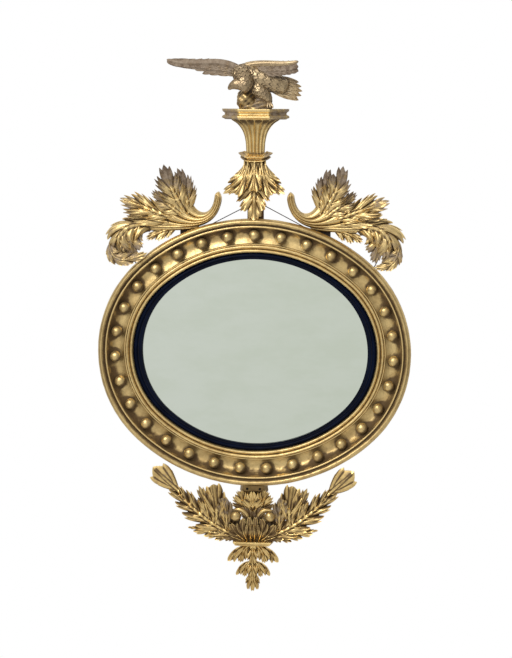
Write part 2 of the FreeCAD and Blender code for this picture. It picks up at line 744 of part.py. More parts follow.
def wall_hook():
    """A brass hook: a plate with a hole for its pin, and a flanged peg that carries the wire."""
    centre = wire_bend()[1]
    reach = 2 * wire_proud - hook_plate - hook_flange
    plate = Part.makeBox(hook_width, hook_plate, hook_height)
    plate.translate(at(-0.5 * hook_width, hook_plate, centre.z - 0.3 * hook_height))
    peg = Part.makeCylinder(hook_peg_radius, hook_plate + reach, at(0, 0, centre.z), FRONT)
    flange = Part.makeCylinder(hook_peg_radius + 3.4, hook_flange, at(0, hook_plate + reach, centre.z), FRONT)
    hole = Part.makeCylinder(hook_hole_radius, 3 * hook_plate, at(0, -hook_plate, centre.z + 0.5 * hook_height), FRONT)
    return largest(plate.fuse([peg, flange]).cut(hole).removeSplitter())


# ---------------------------------------------------------------- the whole object
def build():
    pieces = {}
    crest_batten = batten(frame_half_height - batten_lap, frame_half_height + collar_rise + collar_height + 60.0)
    apron_batten = batten(-frame_half_height - pendant_drop - 30.0, -frame_half_height + batten_lap)
    pieces["crest_batten"], pieces["apron_batten"] = crest_batten, apron_batten
    pieces["pine_carcase"] = frame_ring = carcase([crest_batten, apron_batten])
    pieces["frame_moulding"] = moulding = frame_moulding()
    pieces["sight_moulding"] = sight_moulding()
    pieces["ebonised_slip"] = slip()
    pieces["mirror_plate"] = mirror_plate()
    pieces["plate_blocks"] = plate_blocks()
    boards = backboards()
    screws = []
    for share in (0.06, 0.19, 0.31, 0.44, 0.56, 0.69, 0.81, 0.94):
        x, z = outer.point(carcase_inner - 0.5 * board_overlap, share)
        screws.append(countersunk_screw(x, z, 0.0))
    for name, board in zip(("backboard_lower", "backboard_middle", "backboard_upper"), boards):
        pieces[name] = largest(board.cut(screws))
    pieces["pine_carcase"] = frame_ring = largest(frame_ring.cut(screws))
    pieces["backboard_screws"] = Part.makeCompound(screws)
    lap = 0.5 * batten_lap
    batten_screws = [countersunk_screw(x, s * (frame_half_height - lap), carcase_back) for s in (1, -1) for x in (-10, 10)]
    pieces["crest_batten"] = crest_batten = largest(crest_batten.cut(batten_screws[:2]))
    pieces["apron_batten"] = apron_batten = largest(apron_batten.cut(batten_screws[2:]))
    pieces["pine_carcase"] = frame_ring = largest(frame_ring.cut(batten_screws))
    pieces["frame_moulding"] = moulding = largest(moulding.cut(batten_screws))
    pieces["batten_screws"] = Part.makeCompound(batten_screws)
    pieces["gilt_balls"] = Part.makeCompound([seated(ball, moulding) for ball in balls()])

    pieces["crest_core"] = core = seated(crest_core(), moulding, frame_ring)
    pieces["crest_collar"] = collar = crest_collar()
    pieces["plinth_stem"] = plinth_stem()
    pieces["plinth_cap"] = plinth_cap()
    pieces["crest_lower_leaf"] = lower = seated(crest_lower_leaf(), core, moulding)
    pieces["crest_centre_leaf"] = centre = seated(crest_centre_leaf(), core, collar, lower)
    side = seated(crest_side_leaf(), core, collar, lower, centre)
    pieces["crest_right_leaf"], pieces["crest_left_leaf"] = side, mirrored(side)

    stem = seated(scroll_stem(), moulding, frame_ring)
    block = seated(scroll_block(), moulding, frame_ring, stem)
    upright = seated(scroll_upright_leaf(), stem)
    middle = seated(scroll_middle_leaf(), stem, upright)
    curled = seated(scroll_curled_leaf(), stem, moulding, frame_ring, middle)
    under = seated(scroll_under_leaf(), stem, curled)
    pin = seated(scroll_pin(), curled, moulding, frame_ring)
    right_hand = {"scroll": stem, "scroll_block": block, "upright_leaf": upright, "middle_leaf": middle,
                  "curled_leaf": curled, "under_leaf": under, "leaf_pin": pin}
    for name, shape in right_hand.items():
        pieces["right_" + name], pieces["left_" + name] = shape, mirrored(shape)

    pieces["apron_collar"] = collar = apron_collar()
    pieces["apron_core"] = core = seated(apron_core(), moulding, frame_ring, collar)
    apron_screws = [apron_screw(x) for x in (-16.0, 16.0)]
    pieces["apron_screws"] = Part.makeCompound(apron_screws)
    pieces["apron_batten"] = largest(apron_batten.cut(apron_screws))
    pieces["apron_core"] = core = largest(core.cut(apron_screws))
    pieces["apron_rosette"] = rosette = seated(apron_rosette(), core, moulding)
    pieces["apron_palmette"] = palmette = seated(apron_palmette(), core, collar, rosette)
    boss = seated(apron_boss(), core, palmette)
    pieces["apron_bosses"] = Part.makeCompound([boss, mirrored(boss)])
    branch = seated(apron_branch(), core, collar, palmette, boss, moulding)
    pieces["right_branch"], pieces["left_branch"] = branch, mirrored(branch)
    low = seated(apron_low_leaf(), core, collar, branch, palmette)
    pieces["right_low_leaf"], pieces["left_low_leaf"] = low, mirrored(low)
    pieces["pendant_upper_husk"] = upper = seated(
        hanging_husk(pendant_drop, upper_husk_length, 63, 15), collar, apron_batten)
    pieces["pendant_lower_husk"] = lower = seated(
        hanging_husk(pendant_drop + husk_step, lower_husk_length, 42, 12), upper, apron_batten)
    pieces["pendant_bud"] = seated(pendant_bud(), lower)

    pieces["eagle_rock"] = rock = eagle_rock()
    pieces["eagle_body"] = body = seated(eagle_body(), rock)
    pieces["eagle_left_wing"] = seated(eagle_left_wing(), body)
    pieces["eagle_right_wing"] = seated(eagle_right_wing(), body)
    pieces["eagle_tail"] = seated(eagle_tail(), body)

    eye = screw_eye()
    pieces["right_screw_eye"], pieces["left_screw_eye"] = eye, mirrored(eye)
    pieces["pine_carcase"] = largest(frame_ring.cut([eye, mirrored(eye)]))
    pieces["hanging_wire"] = hanging_wire()
    pieces["wall_hook"] = wall_hook()
    return pieces


os.makedirs("parts", exist_ok=True)
for node, solid in build().items():
    solid.exportStep("parts/" + node + ".step")
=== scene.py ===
"""A carved and gilded wall mirror with an eagle on its crest, dressed piece by piece as it is put together.

The CAD model is the frame: +X to the right, +Z up, the front towards -Y and the wall at y = 0. Sizes here are
millimetres and turn to metres where a mesh is made; "proud" is how far a point stands forward of the wall.
"""

import math

import bpy
import numpy as np
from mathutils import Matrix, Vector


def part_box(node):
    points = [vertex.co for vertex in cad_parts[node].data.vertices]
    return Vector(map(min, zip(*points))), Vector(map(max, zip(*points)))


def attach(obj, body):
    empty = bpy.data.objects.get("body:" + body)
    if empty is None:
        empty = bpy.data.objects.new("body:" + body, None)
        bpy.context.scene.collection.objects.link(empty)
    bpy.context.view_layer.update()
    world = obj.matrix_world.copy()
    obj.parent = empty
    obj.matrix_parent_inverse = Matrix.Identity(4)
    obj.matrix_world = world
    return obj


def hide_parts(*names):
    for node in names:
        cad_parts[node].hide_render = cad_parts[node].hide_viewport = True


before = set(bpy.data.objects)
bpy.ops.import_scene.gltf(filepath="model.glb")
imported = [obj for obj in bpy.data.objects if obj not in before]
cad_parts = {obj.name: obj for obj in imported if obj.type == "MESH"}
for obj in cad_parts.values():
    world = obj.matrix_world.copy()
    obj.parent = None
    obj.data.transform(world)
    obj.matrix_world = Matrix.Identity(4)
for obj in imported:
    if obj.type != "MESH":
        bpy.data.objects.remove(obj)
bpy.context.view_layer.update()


# ---------------------------------------------------------------- pine carcase, battens, boards and blocks
# The frame is built on a ring of pine, with a batten let in behind the crest and the apron and three thin
# boards that close the back. All of it is bare wood, sawn and planed by hand and browned by two centuries of
# air.

class Signal:
    """A socket in a material's node tree. Arithmetic with signals and numbers adds its Math nodes."""

    def __init__(self, socket):
        self.socket = socket

    def node(self, kind, settings, sockets, out=0):
        """Adds a node: its settings first, then the value or link of each socket; gives one output."""
        tree = self.socket.id_data
        made = tree.nodes.new(kind)
        for name, value in settings.items():
            setattr(made, name, value)
        for name, value in sockets.items():
            if isinstance(value, Signal):
                tree.links.new(value.socket, made.inputs[name])
            else:
                made.inputs[name].default_value = value
        return Signal(made.outputs[out])

    def sum_with(self, other, operation, swap=False):
        first, second = (other, self) if swap else (self, other)
        return self.node("ShaderNodeMath", {"operation": operation}, {0: first, 1: second})

    def __add__(self, other):
        return self.sum_with(other, "ADD")

    def __sub__(self, other):
        return self.sum_with(other, "SUBTRACT")

    def __mul__(self, other):
        return self.sum_with(other, "MULTIPLY")

    def __rsub__(self, other):
        return self.sum_with(other, "SUBTRACT", swap=True)

    __radd__, __rmul__ = __add__, __mul__

    def step(self, low, high):
        """0 below low, 1 above high and a smooth rise between."""
        ends = {"Value": self, "From Min": low, "From Max": high}
        return self.node("ShaderNodeMapRange", {"interpolation_type": "SMOOTHSTEP"}, ends)

    def mix(self, first, second):
        """The first colour where this signal is 0 and the second where it is 1."""
        first, second = ((*c, 1) if isinstance(c, tuple) else c for c in (first, second))
        return self.node("ShaderNodeMix", {"data_type": "RGBA"}, {0: self, 6: first, 7: second}, 2)

    def noise(self, scale, detail=3.0, rough=0.55, stretch=(1, 1, 1)):
        """Cloudy noise over these coordinates, scale lumps to the metre."""
        place = self.node("ShaderNodeMapping", {}, {"Vector": self, "Scale": stretch})
        return place.node("ShaderNodeTexNoise", {}, {"Vector": place, "Scale": scale, "Detail": detail,
            "Roughness": rough})

    def own(self, attribute):
        """The piece's own value of that name, kept at the points of its mesh."""
        return self.node("ShaderNodeAttribute", {"attribute_name": attribute}, {}, "Fac")

    def cells(self, feature, scale):
        """The distance that feature of Voronoi cells gives, scale cells to the metre."""
        return self.node("ShaderNodeTexVoronoi", {"feature": feature}, {"Vector": self, "Scale": scale},
            "Distance")

    def part(self, axis):
        """One coordinate of this vector."""
        return self.node("ShaderNodeSeparateXYZ", {}, {"Vector": self}, axis)

    def bump(self, height, deep):
        """The surface's direction where this height, from 0 to 1, is that many millimetres deep."""
        return height.node("ShaderNodeBump", {}, {"Strength": 1.0, "Distance": 0.001 * deep,
            "Height": height}, "Normal")


def finish(name, paint):
    """A material: paint takes Object coordinates and gives the values and signals of the shader's sockets."""
    made = bpy.data.materials.new(name)
    made.use_nodes = True
    tree = made.node_tree
    shader = tree.nodes["Principled BSDF"]
    place = Signal(tree.nodes.new("ShaderNodeTexCoord").outputs["Object"])
    for socket, value in paint(place).items():
        if isinstance(value, Signal):
            tree.links.new(value.socket, shader.inputs[socket])
        else:
            shader.inputs[socket].default_value = value
    return made


def pine(dark, pale, grain_along):
    """Planed softwood: bands of early and late wood along the grain, fine fibres and hand stains."""
    def paint(place):
        bands = place.noise(38, 2.0, 0.5, grain_along)
        lines = bands.node("ShaderNodeMath", {"operation": "FRACT"}, {0: bands * 9.0})
        fibre = place.noise(700, 4.0, 0.7, grain_along)
        stain = place.noise(7, 4.0, 0.6).step(0.42, 0.7)
        wood = (lines.step(0.5, 0.95) * 0.65 + fibre.step(0.35, 0.75) * 0.35).mix(pale, dark)
        return {
            "Base Color": (stain * 0.7).mix(wood, tuple(0.45 * c for c in dark)),
            "Roughness": 0.62 + fibre * 0.3,
            "Normal": place.bump(lines * 0.4 + fibre * 0.6, 0.35),
        }
    return paint


def dress(node, material):
    """The CAD piece keeps its own mesh and takes this material."""
    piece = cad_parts[node]
    if not piece.material_slots:
        piece.data.materials.append(None)
    for slot in piece.material_slots:
        slot.material = material


upright_pine = finish("old_pine_upright", pine((0.13, 0.065, 0.028), (0.30, 0.175, 0.085), (1, 1, 0.06)))
board_pine = finish("old_pine_boards", pine((0.15, 0.08, 0.036), (0.36, 0.225, 0.115), (0.06, 1, 1)))
for node in ("pine_carcase", "crest_batten", "apron_batten"):
    dress(node, upright_pine)
for node in ("backboard_lower", "backboard_middle", "backboard_upper", "plate_blocks"):
    dress(node, board_pine)


# ---------------------------------------------------------------- main moulding
# The front of the frame is one gilded moulding: a round outer rim, a groove, a flat fillet and a deep hollow.
# It is gessoed and water gilded over red-brown bole, and umber glaze has stayed in every groove.
def box_of(node):
    """The low and the high corner of a CAD piece's box, in millimetres."""
    return [1000 * np.array(corner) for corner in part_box(node)]


moulding_low, moulding_high = box_of("frame_moulding")
frame_half_width, frame_half_height = moulding_high[0], moulding_high[2]
moulding_front, moulding_back = -moulding_low[1], -moulding_high[1]
side_tightness = 0.718
rim_width, fillet_width, hollow_width = 16.0, 6.5, 43.5
ball_count, steps_round = 31, 640


def oval(half_width, half_height, count):
    """Points at equal steps round an oval of four arcs, clockwise from its top, and their outward directions.

    The side arcs have the half-height as their radius, less the tightness times the oval's flatness; the
    flatter arcs are those that meet them in a smooth joint.
    """
    side = half_height * (1 - side_tightness * (1 - half_height / half_width))
    top = ((half_width - side) ** 2 + half_height ** 2 - side ** 2) / (2 * (half_height - side))
    joint = math.atan2(half_width - side, top - half_height)
    quarter = top * joint + side * (math.pi / 2 - joint)
    way = np.arange(count) / count * 4
    corner = np.floor(way).astype(int)
    way = np.where(corner % 2, corner + 1 - way, way - corner) * quarter
    flat = way < top * joint
    angle = np.where(flat, way / top, joint + (way - top * joint) / side)
    out = np.stack([np.sin(angle), np.cos(angle)], 1)
    place = np.where(flat[:, None], [0, half_height - top] + top * out, [half_width - side, 0] + side * out)
    sign = np.array([[1, 1], [1, -1], [-1, -1], [-1, 1]])[corner]
    return place * sign, out * sign


def smooth_profile(corners, fine):
    """The corners' polygon, each edge cut into steps of about fine millimetres."""
    points = []
    for a, b in zip(corners, corners[1:] + corners[:1]):
        a, b = np.array(a, float), np.array(b, float)
        steps = max(1, round(float(np.linalg.norm(b - a)) / fine))
        points += [a + (b - a) * k / steps for k in range(steps)]
    return np.array(points)


def arc(a, b, rise, count=14):
    """Points from a to b along a bow that stands off their chord by rise, to its left."""
    a, b = np.array(a, float), np.array(b, float)
    t = np.linspace(0, 1, count)[:, None]
    across = np.array([-(b - a)[1], (b - a)[0]]) / np.linalg.norm(b - a)
    return [tuple(p) for p in a + (b - a) * t + across * rise * 4 * t * (1 - t)]


def carried(path, out, profile):
    """A grid: the (inwards, proud) profile carried round a path whose outward directions are given."""
    x = path[:, None, 0] - out[:, None, 0] * profile[None, :, 0]
    z = path[:, None, 1] - out[:, None, 1] * profile[None, :, 0]
    return np.stack([x, np.broadcast_to(-profile[None, :, 1], x.shape), z], -1)


def ripple(points, size, seed):
    """Slow unevenness of hand work, from -1 to 1: three crossed sine waves of that size over the points."""
    turn = np.random.default_rng(seed).normal(size=(3, 3))
    waves = [np.sin(points @ (t / np.linalg.norm(t)) * (6.283 / size) + k) for k, t in enumerate(turn)]
    return (waves[0] + waves[1] * waves[2]) * 0.6


def run_round(corners, fine, ripples):
    """A profile of those corners carried round the frame, uneven by ripples of a depth, a size and a seed."""
    profile = smooth_profile(corners, fine)
    grid = carried(frame_path, frame_out, profile)
    uneven = sum(depth * ripple(grid, size, seed) for depth, size, seed in ripples)
    return profile, grid + directions(grid, True) * uneven[..., None]


def turned_outward(grid):
    """The grid with its columns in the order that makes the surface's directions point outwards."""
    middle = grid - grid.mean((0, 1))
    across, along = np.roll(middle, -1, 1) - middle, np.roll(middle, -1, 0) - middle
    volume = (middle * np.cross(across, along))[:-1].sum()
    return grid if volume > 0 else grid[:, ::-1]


def directions(grid, looped):
    """Unit directions out of a grid's surface: across its columns crossed with along its rows."""
    rows = np.roll(grid, -1, 0) - np.roll(grid, 1, 0) if looped else np.gradient(grid, axis=0)
    out = np.cross(np.roll(grid, -1, 1) - np.roll(grid, 1, 1), rows)
    return out / (np.linalg.norm(out, axis=-1, keepdims=True) + 1e-9)


def hollowness(grid, looped, reach, deep):
    """How far the neighbours' mean stands above each point, over deep millimetres; edges are negative."""
    mean = grid
    for _ in range(reach):
        if looped:
            up, down = np.roll(mean, -1, 0), np.roll(mean, 1, 0)
        else:
            up, down = np.concatenate([mean[1:], mean[-1:]]), np.concatenate([mean[:1], mean[:-1]])
        mean = (mean + up + down + np.roll(mean, 1, 1) + np.roll(mean, -1, 1)) / 5
    return ((mean - grid) * directions(grid, looped)).sum(-1) / deep


def shell(grid, looped=False, reach=14, deep=0.7, dull=0.0, shade=0.0):
    """A closed surface from a grid whose columns run round it; strips close its ends if it isn't looped."""
    shade, dull = (np.broadcast_to(value, grid.shape[:2]) for value in (shade, dull))
    if turned_outward(grid) is not grid:
        grid, shade, dull = grid[:, ::-1], shade[:, ::-1], dull[:, ::-1]
    rows, round_ = grid.shape[:2]
    index = np.arange(rows * round_).reshape(rows, round_)
    low = index if looped else index[:-1]
    high = np.roll(index, -1, 0) if looped else index[1:]
    faces = [np.stack([low, np.roll(low, -1, 1), np.roll(high, -1, 1), high], -1).reshape(-1, 4)]
    if not looped:
        i = np.arange(round_ // 2 - 1)
        strip = np.stack([i, i + 1, round_ - 2 - i, round_ - 1 - i], 1)
        faces += [index[0][strip[:, ::-1]], index[-1][strip]]
    # the shade given is painted shade where above 0 and painted light where below, on top of the hollowness
    hollow = hollowness(grid, looped, reach, deep) + shade
    return grid.reshape(-1, 3), np.concatenate(faces), hollow.reshape(-1), dull.reshape(-1)


def flip_side(shells):
    """The same shells on the left-hand side."""
    return [(points * [-1, 1, 1], faces[:, ::-1], hollow, dull) for points, faces, hollow, dull in shells]


def make(node, shells, material, kind="carved", sharp=55, glaze_and_shade=0.0):
    """One object from shells, in metres, with its hollow-and-shade and dull values, in place of that CAD
    node;
    its offset adds glaze and painted shade to the whole piece, or paints it lighter when below 0.
    """
    start = np.cumsum([0] + [len(s[0]) for s in shells[:-1]])
    points = np.concatenate([s[0] for s in shells]) * 0.001
    faces = np.concatenate([s[1] + k for s, k in zip(shells, start)])
    mesh = bpy.data.meshes.new(node + "_" + kind)
    mesh.vertices.add(len(points))
    mesh.vertices.foreach_set("co", points.astype(np.float32).ravel())
    mesh.loops.add(faces.size)
    mesh.loops.foreach_set("vertex_index", faces.astype(np.int32).ravel())
    mesh.polygons.add(len(faces))
    mesh.polygons.foreach_set("loop_start", np.arange(0, faces.size, 4, dtype=np.int32))
    mesh.polygons.foreach_set("loop_total", np.full(len(faces), 4, dtype=np.int32))
    mesh.update(calc_edges=True)
    # the piece's offset adds glaze and painted shade to its hollow-and-shade values, or painted light when
    # below 0
    for attribute, column, more in (("hollow", 2, glaze_and_shade), ("dull", 3, 0)):
        values = np.concatenate([s[column] for s in shells]).astype(np.float32) + more
        mesh.attributes.new(attribute, "FLOAT", "POINT").data.foreach_set("value", values)
    mesh.polygons.foreach_set("use_smooth", np.ones(len(faces), dtype=bool))
    mesh.set_sharp_from_angle(angle=math.radians(sharp))
    mesh.materials.append(material)
    piece = bpy.data.objects.new(mesh.name, mesh)
    bpy.context.scene.collection.objects.link(piece)
    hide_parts(node)
    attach(piece, "root")


def gilding(light, shade, umber, rub, patchy=1.6, satin=0.3):
    """Old water gilding: leaf over bole, glaze left in the hollows, patches worn through to the bole, and
    edges painted brighter as a highlight.

    The hollow-and-shade value darkens and dulls the grooves with glaze and painted shade, and finds the
    edges, which it paints brighter as a highlight; the dull value turns the leaf to the brown-grey of places
    where it has gone.
    """
    def paint(place):
        hollow = place.own("hollow")
        dull = place.own("dull")
        cloud, mottle, grit = place.noise(14, 4.0), place.noise(75, 4.0, 0.65), place.noise(420, 3.0, 0.7)
        # umber glaze, and the painted shade that the hollow-and-shade value carries, darken the grooves
        groove = (hollow + (mottle - 0.5) * 0.7).step(0.08, 0.62)
        # painted highlight: convex edges are mixed towards a brighter gold
        edge = ((grit - 0.5) * 0.8 - hollow).step(0.25, 0.95)
        worn = (dull + (mottle - 0.5) * patchy + (grit - 0.5) * 0.5 * patchy).step(0.3, 0.95)
        rubbed = (mottle + (grit - 0.5) * 0.6).step(0.66, 0.82) * rub
        leaf_gold = (cloud.step(0.32, 0.68) * 0.6 + mottle.step(0.35, 0.7) * 0.4).mix(light, shade)
        gold = (edge * 0.7).mix(leaf_gold, tuple(min(1.0, 1.14 * c) for c in light))
        bole = rubbed.mix(gold, (0.28, 0.115, 0.05))
        glazed = (groove * 0.9).mix(bole, umber)
        bare = mottle.step(0.35, 0.65).mix((0.17, 0.115, 0.075), (0.34, 0.265, 0.19))
        craze = 1.0 - place.cells("DISTANCE_TO_EDGE", 95.0).step(0.0, 0.035)
        return {
            "Base Color": (craze * 0.25).mix(worn.mix(glazed, bare), umber),
            "Metallic": (1.0 - groove * 0.55) * (1.0 - worn * 0.8) * (1.0 - rubbed * 0.6),
            "Roughness": satin + mottle * 0.2 + groove * 0.25 + worn * 0.25,
            "Normal": place.bump(mottle * 0.5 + grit * 0.35 - craze * 0.25, 0.32),
        }
    return paint


gold = finish("gilding", gilding((0.86, 0.65, 0.30), (0.56, 0.39, 0.165), (0.095, 0.052, 0.020), 0.3))
# painted shade: a darker copy of the gilding for the moulding, which tones down the light on its rim
shaded_moulding_gold = finish("gilding_of_the_moulding", gilding((0.75, 0.56, 0.255), (0.50, 0.345, 0.145),
    (0.095, 0.052, 0.020), 0.6))

frame_path, frame_out = oval(frame_half_width, frame_half_height, steps_round)
front, back = moulding_front, moulding_back
hollow_outer = rim_width + fillet_width
hollow_floor = back + 4.0
hollow_inner = hollow_outer + hollow_width
corners = (
    [(2.4, back), (0.4, back + 0.55 * (front - back))]
    + arc((0.0, front - 9.0), (rim_width, front - 9.0), 8.6, 22)
    + [(rim_width + 0.4, front - 10.5), (rim_width + 1.6, front - 10.5), (rim_width + 2.0, front - 7.2)]
    + arc((rim_width + 2.2, front - 7.0), (hollow_outer - 0.6, front - 7.0), 0.7, 6)
    + [(hollow_outer - 0.2, front - 9.0)]
    + arc((hollow_outer + 0.2, front - 10.0), (hollow_inner - 2.4, hollow_floor + 7.0), -13.5, 34)
    + [(hollow_inner - 2.0, hollow_floor + 8.4), (hollow_inner - 0.2, hollow_floor + 8.4)]
    + [(hollow_inner, back)]
)
profile, grid = run_round(corners, 1.6, ((0.22, 46, 1), (0.12, 17, 2)))
inward = profile[:, 0]
across = np.clip((inward - hollow_outer) / hollow_width, 0, 1)
in_hollow = (across > 0.03) & (across < 0.95)
# Painted light and shade across the profile: the rim darker towards its inner side, the hollow lighter
# towards the sight moulding.
shade = np.where(in_hollow, -0.1 - 0.75 * np.sin(0.5 * math.pi * across), 0.1)
shade = np.where(inward < rim_width, 0.3 + 0.5 * np.clip(inward / rim_width, 0, 1) ** 2, shade)
# painted shadow beside each ball and painted light between them; the ripple is uneven glaze
shade_by_ball = 0.22 * np.cos(2 * math.pi * ball_count * np.arange(steps_round) / steps_round)[:, None] * in_hollow
shade = shade + shade_by_ball + 0.3 * ripple(grid, 34, 6) * np.clip(8 * across, 0.4, 1)
make("frame_moulding", [shell(grid, True, 26, 1.1, shade=shade)], shaded_moulding_gold, kind="gilt")


# ---------------------------------------------------------------- balls
# Thirty-one turned balls are glued into the hollow at equal steps, one of them at the top. Their gilding is
# painted darker, as shade, where they sit and on their lower right side.
ball_radius = 14.0
ball_line = hollow_outer + 0.45 * hollow_width
hollow_depth = 0.895 * (moulding_front - moulding_back)
ball_seat = moulding_front - 0.94 * hollow_depth


def ball(centre, radius, seed, flatten=1.0):
    """A ball as rows of circles about the line of sight, from its foot to its front, a little out of true."""
    fall = np.linspace(0.06, math.pi - 0.03, 26)[:, None]
    turn = np.linspace(0, 2 * math.pi, 32, endpoint=False)[None, :]
    grid = np.stack([np.sin(fall) * np.cos(turn), flatten * np.cos(fall) + 0 * turn,
        np.sin(fall) * np.sin(turn)], -1)
    return centre + grid * radius * (1 + 0.018 * ripple(grid * 20 + seed, 24, seed)[..., None])


path, out = oval(frame_half_width, frame_half_height, ball_count * 20)
seats = (path - out * ball_line)[::20]
balls = []
for k, (x, z) in enumerate(seats):
    grid = ball(np.array([x, -(ball_seat + 0.9 * ball_radius), z]), ball_radius, k, 0.97)
    # painted shade where the ball sits and on its lower right side
    foot = np.clip((ball_seat + 9.0 + grid[..., 1]) / 6.0, 0, 1)
    shaded_low_side = np.clip(((grid[..., 0] - x) - (grid[..., 2] - z)) / (1.414 * ball_radius) - 0.2, 0, 1)
    balls.append(shell(grid, reach=0, shade=1.1 * foot + 0.9 * shaded_low_side + 0.08))
make("gilt_balls", balls, gold, kind="round")


# ---------------------------------------------------------------- sight moulding
# Two gilded reeds of nearly the same width lie between the hollow and the black slip, with a narrow groove
# between them. They are worked by hand, so they waver a little.
sight_low, sight_high = box_of("sight_moulding")
sight_front, sight_back, sight_width = -sight_low[1], -sight_high[1], 20.0
d, w, front = hollow_inner, sight_width, sight_front
corners = (
    [(d, sight_back), (d, front - 5.0)]
    + arc((d + 0.02 * w, front - 3.5), (d + 0.46 * w, front - 4.0), 3.4, 14)
    + [(d + 0.49 * w, front - 6.2), (d + 0.53 * w, front - 6.2)]
    + arc((d + 0.56 * w, front - 4.5), (d + 0.96 * w, front - 5.0), 3.2, 14)
    + [(d + 0.98 * w, front - 7.0), (d + w, front - 8.0), (d + w, sight_back)]
)
grid = run_round(corners, 1.3, ((0.15, 40, 3), (0.08, 13, 4)))[1]
make("sight_moulding", [shell(grid, True, 12, 0.8)], gold, kind="gilt")


# ---------------------------------------------------------------- ebonised slip
# A flat slip with a rounded band along its outer edge closes on the glass. It is stained black over a blue
# ground and polished, with dust in its two grooves.
slip_flat = sight_back + 6.0
slip_outer = hollow_inner + sight_width + 0.3
glass_half_width, glass_half_height = 283.0, 232.0


def black_polish(place):
    """Blue-black stain under a thin polish, scuffed and clouded, with pale dust in the hollows."""
    hollow = place.own("hollow")
    cloud, scuff = place.noise(22, 4.0), place.noise(260, 3.0, 0.7)
    dust = (hollow + (scuff - 0.5) * 0.6).step(0.35, 1.1) * 0.2
    stain = cloud.step(0.3, 0.75).mix((0.0015, 0.003, 0.010), (0.003, 0.0065, 0.022))
    return {
        "Base Color": dust.mix(stain, (0.05, 0.045, 0.04)),
        "Roughness": 0.28 + cloud * 0.22 + dust * 0.6,
        "Specular IOR Level": 0.05,
        "Coat Weight": 0.02,
        "Coat Roughness": 0.2,
        "Normal": place.bump(scuff * 0.5 + cloud * 0.5, 0.25),
    }


black = finish("ebonised_wood", black_polish)
inner_path, inner_out = oval(glass_half_width, glass_half_height, steps_round)
d = slip_outer
band = (
    [(d, slip_flat - 5.5), (d, slip_flat - 0.6), (d + 0.8, slip_flat - 0.2)]
    + arc((d + 1.2, slip_flat + 0.4), (d + 11.0, slip_flat), 4.6, 18)
    + [(d + 11.8, slip_flat - 0.9), (d + 13.0, slip_flat - 0.9), (d + 13.4, slip_flat)]
)
lip = [(-2.6, slip_flat), (-2.2, slip_flat + 0.9), (-0.6, slip_flat + 0.9), (0.0, slip_flat - 0.4),
    (0.0, slip_flat - 5.8)]
outer_part = carried(frame_path, frame_out, np.array(band))
inner_part = carried(inner_path, inner_out, np.array(lip))
grid = np.concatenate([outer_part, inner_part], 1)
make("ebonised_slip", [shell(grid, True, 5, 0.5)], black, kind="polished", sharp=40)


# ---------------------------------------------------------------- mirror plate
# The plate is old flat glass silvered behind, pale and slightly green. Its silvering is clouded and has a
# few dark specks.
def old_silvering(place):
    """A mirror that is a little hazy in patches, with a few foxed specks, a little darker to the right."""
    cloud = place.noise(7, 4.0, 0.6, (1, 1, 2.4))
    rightward = place.part("X").step(-0.3, 0.3)
    fleck = place.cells("F1", 26.0)
    spots = 1.0 - (fleck + place.noise(60, 2.0) * 0.06).step(0.045, 0.085)
    tarnish = spots * place.noise(9, 1.0).step(0.60, 0.66)
    silver = (cloud.step(0.35, 0.7) * 0.6 + rightward * 0.5).mix((0.72, 0.775, 0.685), (0.665, 0.725, 0.615))
    return {
        "Base Color": (tarnish * 0.75).mix(silver, (0.20, 0.17, 0.12)),
        "Metallic": 1.0 - tarnish * 0.5,
        "Roughness": 0.035 + cloud * 0.02 + tarnish * 0.3,
    }


dress("mirror_plate", finish("old_mirror", old_silvering))


# ---------------------------------------------------------------- iron screws, eyes and pins, the brass hook
# The boards and battens are held by hand-filed iron screws, and the rolled leaves by iron pins. The wire runs
# between two screw eyes and over a small brass hook in the wall.
def rusty_iron(place):
    """Blackened iron with brown rust blooming through it."""
    bloom = place.noise(180, 4.0, 0.65).step(0.45, 0.65)
    return {
        "Base Color": bloom.mix((0.045, 0.042, 0.040), (0.12, 0.055, 0.028)),
        "Metallic": 1.0 - bloom * 0.8,
        "Roughness": 0.42 + bloom * 0.4,
        "Normal": place.bump(place.noise(900, 3.0, 0.7), 0.2),
    }


def dull_brass(place):
    """Lacquerless brass, browned by age in patches."""
    tarnish = place.noise(150, 4.0, 0.6).step(0.35, 0.7)
    return {
        "Base Color": tarnish.mix((0.60, 0.42, 0.16), (0.24, 0.15, 0.06)),
        "Metallic": 1.0,
        "Roughness": 0.28 + tarnish * 0.3,
        "Normal": place.bump(place.noise(600, 2.0), 0.1),
    }


iron = finish("dark_iron", rusty_iron)
for node in ("backboard_screws", "batten_screws", "apron_screws", "left_leaf_pin", "right_leaf_pin",
        "left_screw_eye", "right_screw_eye"):
    dress(node, iron)
dress("wall_hook", finish("wall_brass", dull_brass))


# ---------------------------------------------------------------- hanging wire
# Iron wire, a little over 2 mm thick, runs taut from eye to eye and bends once over the hook's peg. It is
# one curve with a round section.
wire_low, wire_high = box_of("hanging_wire")
wire_thickness = wire_high[1] - wire_low[1]
wire_proud = -0.5 * (wire_low[1] + wire_high[1])
wire_peak = frame_half_height + 40.0
wire_end, over_hook = np.array([199.5, -wire_proud, wire_low[2] + 0.9]), np.array([0, -wire_proud, wire_peak])
near_hook = over_hook - 7.0 * (over_hook - wire_end) / np.linalg.norm(over_hook - wire_end)
points = [wire_end, near_hook, over_hook, near_hook * [-1, 1, 1], wire_end * [-1, 1, 1]]
line = bpy.data.curves.new("hanging_wire_iron", "CURVE")
line.dimensions = "3D"
spline = line.splines.new("NURBS")
spline.points.add(len(points) - 1)
for point, place in zip(spline.points, points):
    point.co = (*(0.001 * place), 1)
spline.order_u = 3
spline.use_endpoint_u = True
spline.resolution_u = 24
line.bevel_depth = 0.0005 * wire_thickness
line.bevel_resolution = 4
